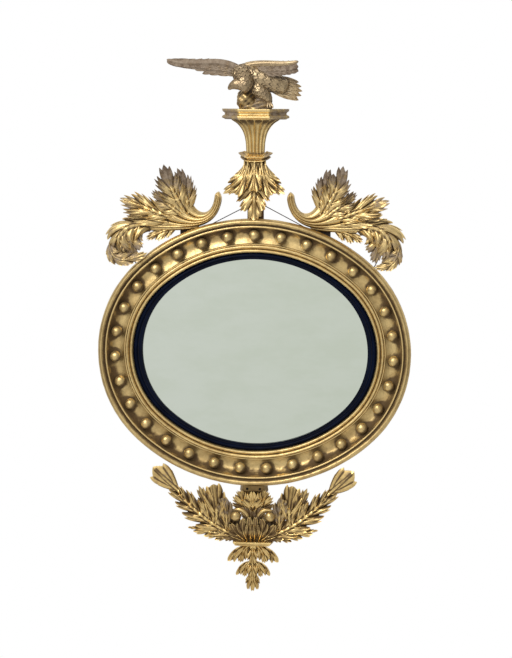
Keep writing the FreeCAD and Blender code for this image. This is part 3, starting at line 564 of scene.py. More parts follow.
line.use_fill_caps = True
line.materials.append(iron)
wire = bpy.data.objects.new("hanging_wire_iron", line)
bpy.context.scene.collection.objects.link(wire)
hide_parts("hanging_wire")
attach(wire, "root")
wire_length = 2 * float(np.linalg.norm(points[2] - points[0])) * 0.001
tuple(0.001 * points[0])


# ---------------------------------------------------------------- crest: leaves under the collar
# Four inverted leaves, carved from pine and gilded, cover the block between the rim and the collar. Each has
# a midrib, overlapping lobes with drilled eyes between them, and gouged teeth.
FRONT, RIGHT, UP = np.array([0, -1.0, 0]), np.array([1.0, 0, 0]), np.array([0, 0, 1.0])
crest_foot = frame_half_height


def crest(*points):
    """Points (x, proud, rise) above the top of the oval."""
    return np.array(points) * [1, -1, 1] + [0, 0, crest_foot]


def curve(points, t):
    """Points on the Bezier curve of these points, and its unit directions, by blending pairs repeatedly."""
    rows, t = np.repeat(np.array(points, float)[:, None], len(t), 1), np.asarray(t)[None, :, None]
    while len(rows) > 2:
        rows = rows[:-1] * (1 - t) + rows[1:] * t
    way = rows[1] - rows[0]
    return rows[0] * (1 - t[0]) + rows[1] * t[0], way / (np.linalg.norm(way, axis=1, keepdims=True) + 1e-9)


def flat_of(spine, facing):
    """A leaf's length, and the function that lays it on its spine: a along it, b across it, h in front."""
    t = np.linspace(0, 1, 300)
    place, along = curve(spine, t)
    ahead = np.repeat(np.array(facing, float)[:, None], len(t), 1)
    while len(ahead) > 1:
        ahead = ahead[:-1] * (1 - t[:, None]) + ahead[1:] * t[:, None]
    across = np.cross(along, ahead[0])
    across /= np.linalg.norm(across, axis=1, keepdims=True)
    lengths = np.concatenate([[0], np.cumsum(np.linalg.norm(np.diff(place, axis=0), axis=1))])
    table = np.concatenate([place, across, np.cross(across, along), along], 1)

    def lay(a, b, h):
        inside = np.clip(a, 0, lengths[-1])
        found = np.stack([np.interp(inside, lengths, table[:, k]) for k in range(12)], -1)
        return (found[..., 0:3] + found[..., 3:6] * b[..., None] + found[..., 6:9] * h[..., None]
                + found[..., 9:12] * (a - inside)[..., None])
    return lengths[-1], lay


def acanthus(spine, half_width, lobes, thickness, facing=(FRONT, FRONT), tip=0.5, lean=1.0, sweep=0.4,
        fingers=3, tip_fingers=3, notch=0.15, teeth=0.2, stalk=0.8, rise=0.35, taper=4.0, deep=1.0, cup=0.0,
        curl=0.3, dull=(0, 0), seed=0, gouge=1.0, halves=(-1, 1)):
    """A carved leaf in two halves that meet at its midrib.

    Lines leave the midrib at a lean that falls to nothing at the tip, where they fan out, and bend along it
    as they run. Their lengths swell and taper, are cut into lobes, 1 - notch |u|^3, and those into saw teeth.
    Each lobe lies tilted over the next, its teeth are gouged, |sin|, and a round pipe runs down to the midrib
    between two lobes.
    """
    rng = np.random.default_rng(seed)
    length, lay = flat_of(spine, facing)
    pitch = 1 / (lobes + 0.6)
    span = min((1 - tip) * length * pitch, 1.1 * half_width) if lobes else 0.7 * half_width
    shells = []
    for side in halves:
        ends = np.concatenate([[0], pitch * (np.arange(1, lobes + 1) + rng.uniform(-0.12, 0.12, lobes)),
            [1.0]])
        sizes = np.concatenate([rng.uniform(0.9, 1.08, lobes), [1.0]])
        lifts = np.concatenate([rng.uniform(0.7, 1.3, lobes), [1.0]])
        s = np.linspace(0, 1, 30 + 34 * lobes)[:, None]
        p = np.linspace(0, 1, 26)[None, :]
        k = np.clip(np.searchsorted(ends, s, side="right") - 1, 0, lobes)
        part = (s - ends[k]) / (ends[k + 1] - ends[k]) * np.where(k == lobes, 0.5, 1)
        beside = np.where(k == lobes, part, np.minimum(part, 1 - part))
        count = np.where(k == lobes, tip_fingers, fingers) * part
        tooth = np.abs(np.sin(math.pi * count)) ** 0.6
        point = np.minimum((count % 1.0) / 0.8, (1 - count % 1.0) / 0.2)
        trim = (1 - notch * np.abs(2 * part - 1) ** 3) * (1 - teeth * (1 - point)) * sizes[k]
        swell = stalk + (1 - stalk) * np.sin(0.5 * math.pi * np.clip(s / rise, 0, 1))
        reach = ((half_width * swell * (1 - s ** taper) / math.sin(0.7 * lean) + tip * length * s ** taper)
            * trim)
        start = lean * (1 - s ** 3) + 0.001
        turn = start * (1 - sweep * p)
        a = (1 - tip) * length * s + reach * (np.sin(start) - np.sin(turn)) / (start * sweep)
        b = reach * (np.cos(turn) - np.cos(start)) / (start * sweep) - 0.3 * (1 - p)
        outer = np.sin(0.5 * math.pi * np.clip(p / 0.5, 0, 1)) ** 2
        pipes = np.exp(-(beside / 0.13) ** 2) - 0.8 * np.exp(-((beside - 0.27) / 0.1) ** 2)
        quill = 0.05 * half_width + 0.7
        form = span * deep * lifts[k] * (
            outer * (0.17 * (part - 0.5) - 0.16 * (2 * part - 1) ** 2)
            + 0.10 * (tooth - 0.5) * np.clip(2.0 * p - gouge, 0, 1)
            + 0.09 * pipes * (1 - outer) * np.clip(6 * p, 0, 1))
        rib = np.exp(-(b / quill) ** 2) - 0.7 * np.exp(-((b - 2.1 * quill) / (0.8 * quill)) ** 2)
        form = form + quill * rib * (1 - 0.6 * s)
        bend = cup * np.abs(b) + curl * reach * np.clip(p - 0.5, 0, 1) ** 2 * (0.7 + 0.6 * tooth)
        front = 0.5 * thickness * (1 - 0.7 * p ** 2) * (1 - 0.4 * s) + bend + form
        back = np.minimum(bend - 0.4 * thickness * (1 - 0.7 * p ** 2), front - 2.0)
        # painted shade: dark at the eyes between the lobes and at the leaf's root, where lobes overlap, and a
        # little over the back
        shade = (1.3 * np.exp(-(beside / 0.09) ** 2) * np.clip(2.5 * p - 1.0, 0, 1)
            + 0.6 * np.exp(-(s / 0.05) ** 2))
        grid = np.concatenate([lay(a, side * b, front), lay(a, side * b, back)[:, ::-1]], 1)
        far = np.clip(np.concatenate([a, a[:, ::-1]], 1) / length, 0, 1)
        shade = np.concatenate([shade, 0 * shade + 0.3], 1)
        shells.append(shell(grid, reach=6, deep=0.7, dull=dull[0] + (dull[1] - dull[0]) * far, shade=shade))
    return shells


make("crest_lower_leaf", acanthus(crest((0, 37, 92), (0, 47, 62), (0, 58, 34), (0, 52, -6)), 38, 2, 12,
    tip=0.42, notch=0.34, teeth=0.12, stalk=0.9, taper=2.0, curl=0.5, seed=11, gouge=1.25), gold,
    glaze_and_shade=-0.3)
make("crest_centre_leaf", acanthus(crest((0, 44, 142), (0, 52, 112), (0, 60, 88), (0, 68, 68)), 17, 1, 12,
    facing=(FRONT, FRONT + UP * 0.2), tip=0.45, lean=0.42, sweep=0.3, notch=0.12, teeth=0.12, stalk=0.9,
    rise=0.6, deep=1.2, seed=12, gouge=0.8), gold, glaze_and_shade=-0.2)
side_leaf = acanthus(crest((14, 40, 143), (17, 46, 112), (27, 52, 84), (47, 58, 57)), 20, 1, 12,
    facing=(FRONT + RIGHT * 0.5, FRONT + RIGHT * 0.3), tip=0.45, lean=0.45, sweep=0.3, notch=0.14,
    teeth=0.13, stalk=0.7, rise=0.8, deep=1.1, seed=13, gouge=0.9)
side_leaf += acanthus(crest((23, 35, 143), (26, 40, 112), (40, 44, 84), (79, 50, 58)), 18, 1, 10,
    facing=(FRONT + RIGHT * 0.7, FRONT + RIGHT * 0.4), tip=0.45, lean=0.5, sweep=0.3, notch=0.22,
    teeth=0.16, stalk=0.6, rise=0.9, deep=1.1, seed=15, gouge=0.9)
make("crest_right_leaf", side_leaf, gold, glaze_and_shade=-0.25)
make("crest_left_leaf", flip_side(side_leaf), gold, glaze_and_shade=-0.25)
dress("crest_core", gold)


# ---------------------------------------------------------------- crest: collar, fluted stem and cap
# A moulded collar with turned-up corners, a fluted stem that flares like a capital, and a cap in three facets
# carry the eagle. The stem's flutes are cut with a gouge.
batten_front = -box_of("crest_batten")[0][1]
collar_low, collar_high = box_of("crest_collar")
stem_low, stem_high = box_of("plinth_stem")
cap_low, cap_high = box_of("plinth_cap")


def faceted(half_widths, front_halves, depths, heights, lift=0.0):
    """A moulding in facets: at each height a half-octagon against the batten, its sides lifted by their x."""
    rows = []
    for half, face, deep, height in zip(half_widths, front_halves, depths, heights):
        side = 0.12 * deep
        corners = [(half, 0), (half, side), (face, deep), (-face, deep), (-half, side), (-half, 0)]
        points = []
        for a, b, steps in zip(corners, corners[1:] + corners[:1], (4, 18, 26, 18, 4, 26)):
            t = np.arange(steps)[:, None] / steps
            points.append(np.array(a) * (1 - t) + np.array(b) * t)
        plan = np.concatenate(points)
        rise = height + lift * np.clip(np.abs(plan[:, 0]) / half, 0, 1) ** 4
        rows.append(np.stack([plan[:, 0], -(batten_front + plan[:, 1]), rise], 1))
    return np.array(rows)


def cyma(low, high, count):
    """An S-shaped rise from low to high."""
    t = np.linspace(0, 1, count)
    return low + (high - low) * (t - np.sin(2 * math.pi * t) / 6.6)


half = cap_high[0]
inset = np.concatenate([[9, 7, 7], np.linspace(6.4, 0.4, 5), [0, 0, 0.2], cyma(0.6, 6.6, 14), [6.9, 6.9],
                        cyma(6.4, 1.2, 12), [0.8, 0.4, 0.4, 0.6, 3]])
height = (np.concatenate([[0, 0.2, 0.8], np.linspace(1.2, 3.6, 5), [4.2, 6.6, 7.0],
    np.linspace(7.4, 12.4, 14), [12.8, 14.4], np.linspace(15.0, 21.4, 12), [21.8, 22.4, 25.2, 25.8, 26.0]])
    + cap_low[2])
grid = faceted(half - inset, 39.5 - 0.45 * inset, 50.0 - 0.8 * inset, height)
# The side facets are made dull and painted darker, as in shade, and the front facet is painted a little
# lighter.
dull_shaded_sides = np.clip((np.abs(grid[..., 0]) - 38.0) / 3.0, 0, 1)
make("plinth_cap", [shell(grid, reach=8, deep=0.9, dull=0.75 * dull_shaded_sides, shade=0.3 * dull_shaded_sides - 0.15)],
    gold, kind="moulded", sharp=30, glaze_and_shade=-0.25)

foot, tall = collar_low[2], collar_high[2] - collar_low[2] - 5.0
half = np.concatenate([[25, 27, 29], 31 + 7.5 * np.sin(np.linspace(0, math.pi, 14)), [32, 32],
    cyma(34, 42.5, 9), [43, 43, 42], cyma(40, 31, 6), [29, 28]])
grid = faceted(half, 0.55 * half, 0.73 * half, foot + tall * np.linspace(0, 1, len(half)), 10.0)
# The collar's side facets are made dull and painted darker, as in shade; the whole collar is painted lighter.
dull_shaded_sides = np.clip((np.abs(grid[..., 0]) - 23.0) / 3.0, 0, 1)
make("crest_collar", [shell(grid, reach=6, deep=0.8, dull=0.7 * dull_shaded_sides, shade=0.5 * dull_shaded_sides)], gold,
    kind="moulded", sharp=35, glaze_and_shade=-0.7)

foot, tall = stem_low[2], stem_high[2] - stem_low[2]
share = np.linspace(0, 1, 70)[:, None]
flare = np.interp(share[:, 0], [0, 0.35, 0.55, 0.7, 0.85, 0.94, 1], [0, 0.04, 0.12, 0.25, 0.48, 0.72, 1])
flare = np.convolve(np.pad(flare, 4, "edge"), np.ones(9) / 9, "valid")[:, None]
half = 23.0 + flare * (stem_high[0] - 24.0)
turn = np.linspace(0, math.pi, 217)[None, :]
ends = np.clip(np.minimum(share / 0.05, (1 - share) / 0.04), 0, 1)
sunk = np.abs(np.cos(9 * turn)) ** 0.7 * 0.12 * half * (0.25 + 0.75 * ends)
x, proud = (half - 0.5 * sunk) * np.cos(turn), 1.0 + (17.0 + 23.0 * flare - sunk) * np.sin(turn)
z = foot + tall * share + 0 * turn
front_face = np.stack([x, -batten_front - proud, z], -1)
t = np.linspace(-1, 1, 21)[None, 1:-1]
back_face = np.stack([half * t, -batten_front + 0 * half * t, z[:, :1] + 0 * t], -1)
make("plinth_stem", [shell(np.concatenate([front_face, back_face], 1), reach=6, deep=0.6)], gold,
    kind="fluted", glaze_and_shade=-0.25)


# ---------------------------------------------------------------- scrolls and their leaves
# On each side one swirl of ribs rises from the rim as a horn, turns through a U and fans out: up into a tall
# leaf, outwards into a middle leaf, and low down into ribs that end in a leaf rolled over towards the rim.
# A stained block and an iron pin hold them.
scroll_seat = frame_half_width - 264.0
quarter = oval(frame_half_width, frame_half_height, 4000)[0][:1000]
seat_height = quarter[np.abs(quarter[:, 0] - scroll_seat).argmin(), 1]


def scroll(*points):
    """Points (x, proud, z) from the place where the right-hand scroll rests on the rim."""
    return np.array(points) * [1, -1, 1] + [scroll_seat, 0, seat_height]


def limb(spine, radii, squash=1.0, reeds=0, reed_depth=0.1, front=FRONT, rows=90, around=56, dull=0.0,
        relief=None, deep=0.55):
    """A carved stem: circles of the given radii round a Bezier spine, with |cos| reeds and rounded ends."""
    s, turn = np.linspace(0, 1, rows), np.linspace(0, 2 * math.pi, around, endpoint=False)
    place, along = curve(spine, s)
    across = np.cross(along, front)
    across /= np.linalg.norm(across, axis=1, keepdims=True)
    forward = np.cross(across, along)
    radius = curve([[r, 0, 0] for r in radii], s)[0][:, 0]
    for share in (s, 1 - s):
        radius = radius * np.sqrt(1 - (1 - np.clip(share / 0.06, 0.03, 1)) ** 2)
    size = radius[:, None] * np.ones(around)[None, :]
    if reeds:
        size = size * (1 + reed_depth * (np.abs(np.cos(0.5 * reeds * turn))[None, :] ** 0.8 - 0.6))
    if relief:
        size = size + relief(s[:, None], turn[None, :]) * radius[:, None] / max(radii)
    x, y = size * np.cos(turn), size * squash * np.sin(turn)
    grid = place[:, None] + across[:, None] * x[..., None] + forward[:, None] * y[..., None]
    return shell(grid, reach=7, deep=deep, dull=dull)


def swirl(lines, deep, ribs):
    """A fan of ribs: four Bezier lines blended across by the cubic through them, with |cos| ribs on top.

    Its section is an ellipse as deep as the given depths along it, so that its edges are round.
    """
    t, w = np.linspace(0, 1, 150), np.linspace(0, 1, 90)[None, :, None]
    laid = [curve(line, t)[0][:, None] for line in lines]
    middle = (laid[0] * (w - 1 / 3) * (w - 2 / 3) * (w - 1) * -4.5
        + laid[1] * w * (w - 2 / 3) * (w - 1) * 13.5 + laid[2] * w * (w - 1 / 3) * (w - 1) * -13.5
        + laid[3] * w * (w - 1 / 3) * (w - 2 / 3) * 4.5)
    centre = middle.mean(1, keepdims=True)
    blunt = np.sqrt(1 - (1 - np.clip(t / 0.05, 0.03, 1)) ** 2)[:, None]
    middle = centre + (middle - centre) * blunt[..., None]
    t, w = t[:, None], w[..., 0]
    wide = np.linalg.norm(middle[:, -1] - middle[:, 0], axis=1)[:, None]
    depth = curve([[d, 0, 0] for d in deep], t[:, 0])[0][:, :1] * blunt
    bulge = np.sqrt(np.clip(1 - (2 * w - 1) ** 2, 0, 1))
    main = np.abs(np.sin(math.pi * ribs * w)) ** 0.55
    fine = np.abs(np.sin(math.pi * 2 * ribs * w)) ** 0.7 * np.clip(2.2 * t - 0.9, 0, 1)
    relief = (main - 0.5) * np.minimum(0.15 * wide, 6.5) + (fine - 0.5) * np.minimum(0.02 * wide, 2.2)
    front = 0.62 * depth * bulge + relief * np.clip(bulge * 1.6, 0, 1)
    back = -0.38 * depth * bulge - 0.6
    upper, under = middle.copy(), middle.copy()
    upper[..., 1] -= np.maximum(front, back + 1.2)
    under[..., 1] -= back
    return shell(np.concatenate([upper, under[:, ::-1]], 1), reach=7, deep=0.7)


right_hand = {
    "scroll": lambda n: [
        swirl([scroll((-29, 46, 84), (-28, 42, 8), (34, 40, 22), (34, 44, 90)),
               scroll((-36, 47, 87), (-40, 42, -4), (56, 42, -6), (74, 48, 80)),
               scroll((-43, 47, 84), (-46, 42, -12), (54, 42, -10), (124, 46, 40)),
               scroll((-48, 46, 76), (-40, 40, -14), (30, 36, -14), (150, 40, -8))],
              [24, 28, 26, 14, 12], 4),
        limb(scroll((10, 40, 1), (70, 42, -6), (120, 44, -5), (172, 46, 3)), [8, 10, 9, 8],
             reeds=8, reed_depth=0.22, rows=110, around=72)],
    "upright_leaf": lambda n: (
        acanthus(scroll((36, 46, 30), (40, 52, 74), (47, 56, 108), (65, 64, 147)), 28, 2, 12,
            facing=(FRONT, FRONT + UP * 0.4), tip=0.42, lean=0.8, notch=0.18, teeth=0.22, taper=5.0,
            dull=(-0.2, 1.6), seed=21 + n)
        + acanthus(scroll((46, 50, 34), (66, 58, 70), (88, 62, 104), (96, 74, 158)), 34, 2, 14,
            facing=(FRONT, FRONT + UP * 0.3, FRONT + UP * 0.6), tip=0.42, lean=0.85, notch=0.18, teeth=0.22,
            taper=5.0, curl=0.5, dull=(-0.3, 1.3), seed=23 + n)
        + acanthus(scroll((52, 52, 26), (78, 58, 46), (102, 60, 62), (128, 58, 88)), 26, 2, 12,
            facing=(FRONT, FRONT + UP * 0.3), tip=0.4, tip_fingers=5, notch=0.2, teeth=0.22, stalk=0.6,
            dull=(-0.1, 0.9), seed=25 + n)
    ),
    "middle_leaf": lambda n: (
        acanthus(scroll((70, 50, 18), (112, 58, 30), (152, 62, 50), (208, 54, 62)), 34, 2, 13,
            facing=(FRONT, FRONT + UP * 0.4), tip=0.42, lean=0.65, sweep=0.3, tip_fingers=4, notch=0.16,
            teeth=0.22, stalk=0.3, rise=0.7, taper=5.0, dull=(-0.3, 0.7), seed=31 + n)
        + acanthus(scroll((86, 50, 8), (122, 58, 12), (158, 62, 22), (194, 56, 34)), 22, 1, 11, tip=0.45,
            lean=0.55, sweep=0.3, notch=0.16, stalk=0.3, dull=(-0.2, 0.4), seed=35 + n)
    ),
    "curled_leaf": lambda n: (
        acanthus(scroll((124, 46, -6), (198, 62, 14), (236, 78, -38), (190, 60, -96)), 40, 3, 15,
            facing=(FRONT + UP, FRONT + RIGHT * 0.4, FRONT - UP * 0.3), tip=0.3, tip_fingers=5, notch=0.24,
            teeth=0.15, stalk=0.3, rise=0.3, taper=6.0, deep=1.3, cup=-0.2, curl=-0.2, dull=(0.0, 0.7),
            seed=41 + n, gouge=1.3)
        + acanthus(scroll((146, 46, -4), (180, 60, -16), (190, 68, -46), (166, 60, -86)), 32, 2, 12,
            tip=0.36, lean=1.1, tip_fingers=5, notch=0.26, teeth=0.15, stalk=0.5, taper=5.0, deep=1.3,
            dull=(0.3, 0.8), seed=45 + n, gouge=1.3)
        + acanthus(scroll((232, 66, -46), (228, 74, -86), (204, 74, -100),
            (132, 70, -66) if n else (170, 64, -96)), 18, 2, 10, tip=0.42, tip_fingers=5, notch=0.2,
            teeth=0.15, stalk=0.6, dull=(0.7, 0.3), seed=47, gouge=1.2)
    ),
    "under_leaf": lambda n: acanthus(scroll((66, 38, -6), (90, 42, -10), (112, 46, -16), (144, 50, -38)),
            22, 2, 9, tip=0.4, tip_fingers=5, notch=0.28, stalk=0.6, taper=3.0, dull=(0, 0.3), seed=51 + n),
}
for name, shells in right_hand.items():
    make("right_" + name, shells(0), gold, glaze_and_shade=-0.1)
    make("left_" + name, flip_side(shells(100)), gold, glaze_and_shade=-0.07)


def dark_stain(place):
    """Rough sawn wood under a nearly black stain."""
    fibre = place.noise(500, 4.0, 0.7, (0.08, 1, 1))
    return {
        "Base Color": fibre.step(0.3, 0.8).mix((0.020, 0.013, 0.010), (0.055, 0.036, 0.024)),
        "Roughness": 0.6 + fibre * 0.3,
        "Normal": place.bump(fibre, 0.4),
    }


stained = finish("stained_wood", dark_stain)
dress("left_scroll_block", stained)
dress("right_scroll_block", stained)


# ---------------------------------------------------------------- apron
# Below the frame a carved block carries a rosette, a husk with two small balls, and a spray of leaves to each
# side, over a moulded collar and a pendant of two whorls and a bud.
apron_head = frame_half_height
pendant_drop, collar_thickness = 150.0, 9.0


def apron(*points):
    """Points (x, proud, drop) below the foot of the oval."""
    return np.array(points) * [1, -1, -1] - [0, 0, apron_head]


def both(shells):
    """The shells on the right-hand side and the same on the left."""
    return shells + flip_side(shells)


rosette = acanthus(apron((0, 38, 76), (0, 48, 50), (0, 54, 32), (0, 56, 12)), 27, 1, 13, tip=0.45,
    tip_fingers=4, notch=0.18, teeth=0.24, stalk=0.9, taper=2.0, seed=61)
rosette += both(acanthus(apron((8, 37, 74), (20, 44, 54), (28, 48, 36), (35, 50, 12)), 27, 2, 12,
    facing=(FRONT + RIGHT * 0.4, FRONT), tip=0.35, tip_fingers=5, notch=0.18, teeth=0.24, seed=62))
apron_gold = finish("gilding_of_the_apron", gilding((0.90, 0.66, 0.28), (0.56, 0.37, 0.14),
    (0.085, 0.042, 0.014), 0.6, 1.6, 0.24))
make("apron_rosette", rosette, apron_gold, glaze_and_shade=-0.15)
base = pendant_drop - collar_thickness - 0.2
palmette = both(acanthus(apron((30, 36, base), (54, 40, base - 20), (62, 42, base - 44),
    (58, 40, base - 80)), 32, 1, 8, tip=0.4, tip_fingers=5, notch=0.28, taper=2.0, dull=(0.3, 0.5),
    seed=68))
for x, bend, lean_to, low, proud, half_width, seed in ((3, 7, 8, 66, 62, 10, 63),
        (12, 30, 21, 60, 60, 13, 64), (18, 50, 56, 44, 54, 13, 65), (26, 68, 90, 26, 50, 13, 66)):
    palmette += both(acanthus(apron((x, 42, base), (0.7 * bend, proud - 4, base - 0.25 * low),
        (bend, proud, base - 0.6 * low), (lean_to, proud - 4, base - low)), half_width, 1, 12,
        facing=(FRONT + RIGHT * 0.3, FRONT), lean=0.5, sweep=0.3, fingers=1, tip_fingers=2, notch=0.2,
        teeth=0.16, stalk=0.5, taper=2.0, dull=(0.0, 0.2), seed=seed))
palmette += both([limb(apron((10, 46, base - 44), (12, 54, base - 76), (34, 56, base - 88),
    (56, 50, base - 72)), [5, 7, 6, 3], reeds=3, reed_depth=0.4, dull=0.4)])
palmette += both(acanthus(apron((4, 42, base - 44), (8, 50, base - 62), (16, 54, base - 74),
    (26, 50, base - 86)), 16, 1, 10, facing=(FRONT + RIGHT * 0.3, FRONT), tip=0.45, lean=0.7, fingers=2,
    tip_fingers=5, notch=0.25, taper=2.0, dull=(0.2, 0.5), seed=67))
# painted shade: the palmette carries more glaze and shade, so the apron is darker
make("apron_palmette", palmette, apron_gold, glaze_and_shade=0.42)
make("apron_bosses", both([shell(ball(apron((43, 52, 78)), 13.5, 5), reach=0)]), gold, kind="round")
shadow_gold = gilding((0.30, 0.20, 0.085), (0.17, 0.11, 0.045), (0.04, 0.024, 0.012), 0.7)
dress("apron_core", finish("gilding_in_shadow", shadow_gold))

branch = acanthus(apron((38, 42, 130), (104, 48, 108), (164, 48, 58), (206, 46, 2)), 31, 5, 15, tip=0.1,
    lean=0.8, fingers=2, tip_fingers=5, notch=0.28, stalk=0.7, rise=0.2, taper=9.0, deep=1.3,
    dull=(0.0, 0.4), seed=71)
branch += acanthus(apron((94, 44, 100), (88, 52, 64), (92, 58, 34), (101, 54, -4)), 34, 1, 13, tip=0.55,
    lean=0.7, teeth=0.12, stalk=0.5, rise=0.8, taper=5.0, deep=1.2, curl=-0.1, seed=72, gouge=0.85)
branch += acanthus(apron((66, 42, 116), (66, 48, 88), (66, 54, 62), (78, 56, 30)), 21, 1, 10, lean=0.5,
    teeth=0.1, stalk=0.7, dull=(0.3, 0.7), seed=73)
branch += acanthus(apron((186, 45, 22), (208, 48, 0), (230, 54, -20), (256, 58, -44)), 26, 0, 11, tip=0.88,
    lean=0.7, sweep=0.5, tip_fingers=5, notch=0.14, teeth=0.12, stalk=0.2, rise=0.6, taper=1.0, deep=1.3,
    curl=-0.2, dull=(0.2, 0.4), seed=74, gouge=0.15)
branch += acanthus(apron((112, 44, 88), (116, 50, 58), (124, 52, 32), (138, 50, 0)), 18, 1, 10, lean=0.6,
    stalk=0.6, taper=5.0, dull=(0.1, 0.5), seed=76)
# painted shade: the branches carry more glaze and shade
make("right_branch", branch, apron_gold, glaze_and_shade=0.22)
make("left_branch", flip_side(branch), apron_gold, glaze_and_shade=0.22)
low_leaf = acanthus(apron((34, 38, 128), (84, 42, 126), (120, 46, 122), (166, 50, 108)), 19, 4, 11,
    facing=(FRONT, FRONT - UP * 0.3), tip=0.2, fingers=2, tip_fingers=5, notch=0.28, teeth=0.24, seed=75)
make("right_low_leaf", low_leaf, apron_gold)
make("left_low_leaf", flip_side(low_leaf), apron_gold)

half = np.concatenate([[45, 48, 49], cyma(49, 52, 5), [53, 53, 52, 51]])
grid = faceted(half, 0.9 * half, 0.95 * half, -apron_head - pendant_drop - 1.5
    + np.linspace(0, collar_thickness + 2, len(half)), 1.0)
make("apron_collar", [shell(grid, reach=4, deep=0.7)], apron_gold, kind="moulded", sharp=35)


def husk(drop, length, spread, size, seed):
    """A whorl of leaves that hang like an umbrella: the outer two show one half below their ribs."""
    shells = [limb(apron((0, 38, drop), (0, 38, drop + 0.8 * length)), [0.24 * spread, 0.12 * spread],
        rows=20, around=24)]
    shells += both(acanthus(apron((8, 40, drop + 3), (0.55 * spread, 44, drop + 3),
        (0.86 * spread, 42, drop + 0.4 * length), (spread, 40, drop + 0.9 * length)), 0.55 * spread, 1, 9,
        tip=0.4, lean=1.15, sweep=0.5, tip_fingers=4, stalk=0.6, rise=0.6, taper=5.0, seed=seed,
        halves=(1,)))
    shells += both(acanthus(apron((4, 46, drop + 3), (0.3 * spread, 52, drop + 5),
        (0.42 * spread, 54, drop + 0.5 * length), (0.46 * spread, 50, drop + length)), 1.1 * size, 1, 8,
        facing=(FRONT + RIGHT * 0.4, FRONT), lean=0.6, fingers=2, teeth=0.14, taper=2.0, seed=seed + 1))
    return (shells + acanthus(apron((0, 44, drop + 3), (0, 54, drop + 0.3 * length),
        (0, 60, drop + 0.7 * length), (0, 56, drop + 1.06 * length)), size, 1, 8, lean=0.6, fingers=2,
        teeth=0.14, stalk=0.9, taper=2.0, seed=seed + 2))


make("pendant_upper_husk", husk(pendant_drop, 47.0, 67, 14, 81), apron_gold, glaze_and_shade=-0.25)
make("pendant_lower_husk", husk(pendant_drop + 42.0, 41.0, 45, 11, 83), apron_gold, glaze_and_shade=-0.25)
drop = pendant_drop + 40.0 + 0.7 * 42.0
bud = [limb(apron((0, 38, drop), (0, 44, drop + 18), (0, 42, drop + 44)), [8, 12, 9, 5], reeds=7,
    reed_depth=0.35)]
bud += acanthus(apron((0, 48, drop), (0, 56, drop + 16), (0, 56, drop + 34), (0, 50, drop + 51)), 9, 1, 7,
    lean=0.5, fingers=2, tip_fingers=2, stalk=0.5, taper=2.0, seed=85)
bud += both(acanthus(apron((3, 44, drop), (9, 50, drop + 14), (13, 50, drop + 30), (10, 46, drop + 48)), 8,
    1, 7, facing=(FRONT + RIGHT * 0.5, FRONT + RIGHT * 0.3), lean=0.5, fingers=2, tip_fingers=2, stalk=0.5,
    taper=2.0, seed=86))
make("pendant_bud", bud, apron_gold, glaze_and_shade=-0.25)


# ---------------------------------------------------------------- eagle
# The eagle stands with its head down to the left over a rock, its wings spread and its tail out behind. Its
# leaf has gone brown-grey on the wings and stays bright on the breast and tail.
perch_height = cap_high[2]
eagle_gold = finish("worn_gilding", gilding((0.60, 0.46, 0.27), (0.37, 0.27, 0.165), (0.075, 0.05, 0.032),
    0.5, 1.0))
rock_gold = finish("dark_gilding", gilding((0.45, 0.32, 0.15), (0.25, 0.165, 0.07), (0.045, 0.028, 0.014),
    0.6))


def perch(*points):
    """Points (x, proud, rise) above the top of the plinth's cap."""
    return np.array(points) * [1, -1, 1] + [0, 0, perch_height]


def plumage(rows_of, round_of, deep):
    """Overlapping scale feathers: each row falls from its tips, |cos| scallops set off by half a step."""
    def relief(s, turn):
        row = np.floor(s * rows_of)
        scallop = np.abs(np.cos(0.5 * round_of * turn + 0.5 * math.pi * (row % 2)))
        t = (s * rows_of - row) + 0.5 * scallop
        return deep * (t % 1.0)
    return relief


def feather(root, tip, bow, half_width, dull):
    """One long flight feather: its width swells as sin(pi s)^0.75 and its front is crowned and cupped.

    Its middle stands away from the line between root and tip by bow. A quill runs down it, and barbs slant
    off the quill as |sin| grooves.
    """
    stalk, quill, thickness = 0.8, 0.14, 4.0
    length, lay = flat_of([root, 0.5 * (root + tip) + bow, tip], (FRONT, FRONT))
    s, v = np.linspace(0, 1, 50)[:, None], np.linspace(-1, 1, 17)[None, :]
    far = np.abs(v)
    close = np.sqrt(np.clip(1 - np.clip((s - 0.9) / 0.1, 0, 1) ** 2, 0.0009, 1))
    swell = stalk * (1 - s) + (1 - 0.5 * stalk) * np.sin(math.pi * (0.06 + 0.9 * s) ** 1.1) ** 0.75 + 0.04
    reach = half_width * swell * close
    rib = (quill * half_width * (1 - 0.6 * s) * (np.exp(-(v / 0.16) ** 2)
        - 0.8 * np.exp(-((far - 0.32) / 0.12) ** 2)))
    groove = (reach * 0.16 * (np.abs(np.sin(math.pi * 3 * (far - 0.35 * s))) ** 0.6 - 0.6)
        * np.clip(3 * far, 0, 1))
    bend = reach * 0.1 * far ** 2
    front = 0.5 * thickness * (1 - 0.7 * far ** 2) * (1 - 0.45 * s) + bend + rib + groove
    back = np.minimum(bend - 0.4 * thickness * (1 - 0.45 * s), front - 1.6)
    a, b = s * length + 0 * v, v * reach
    grid = np.concatenate([lay(a, b, front), lay(a, b, back)[:, ::-1]], 1)
    return shell(grid, reach=6, deep=0.6, dull=dull)


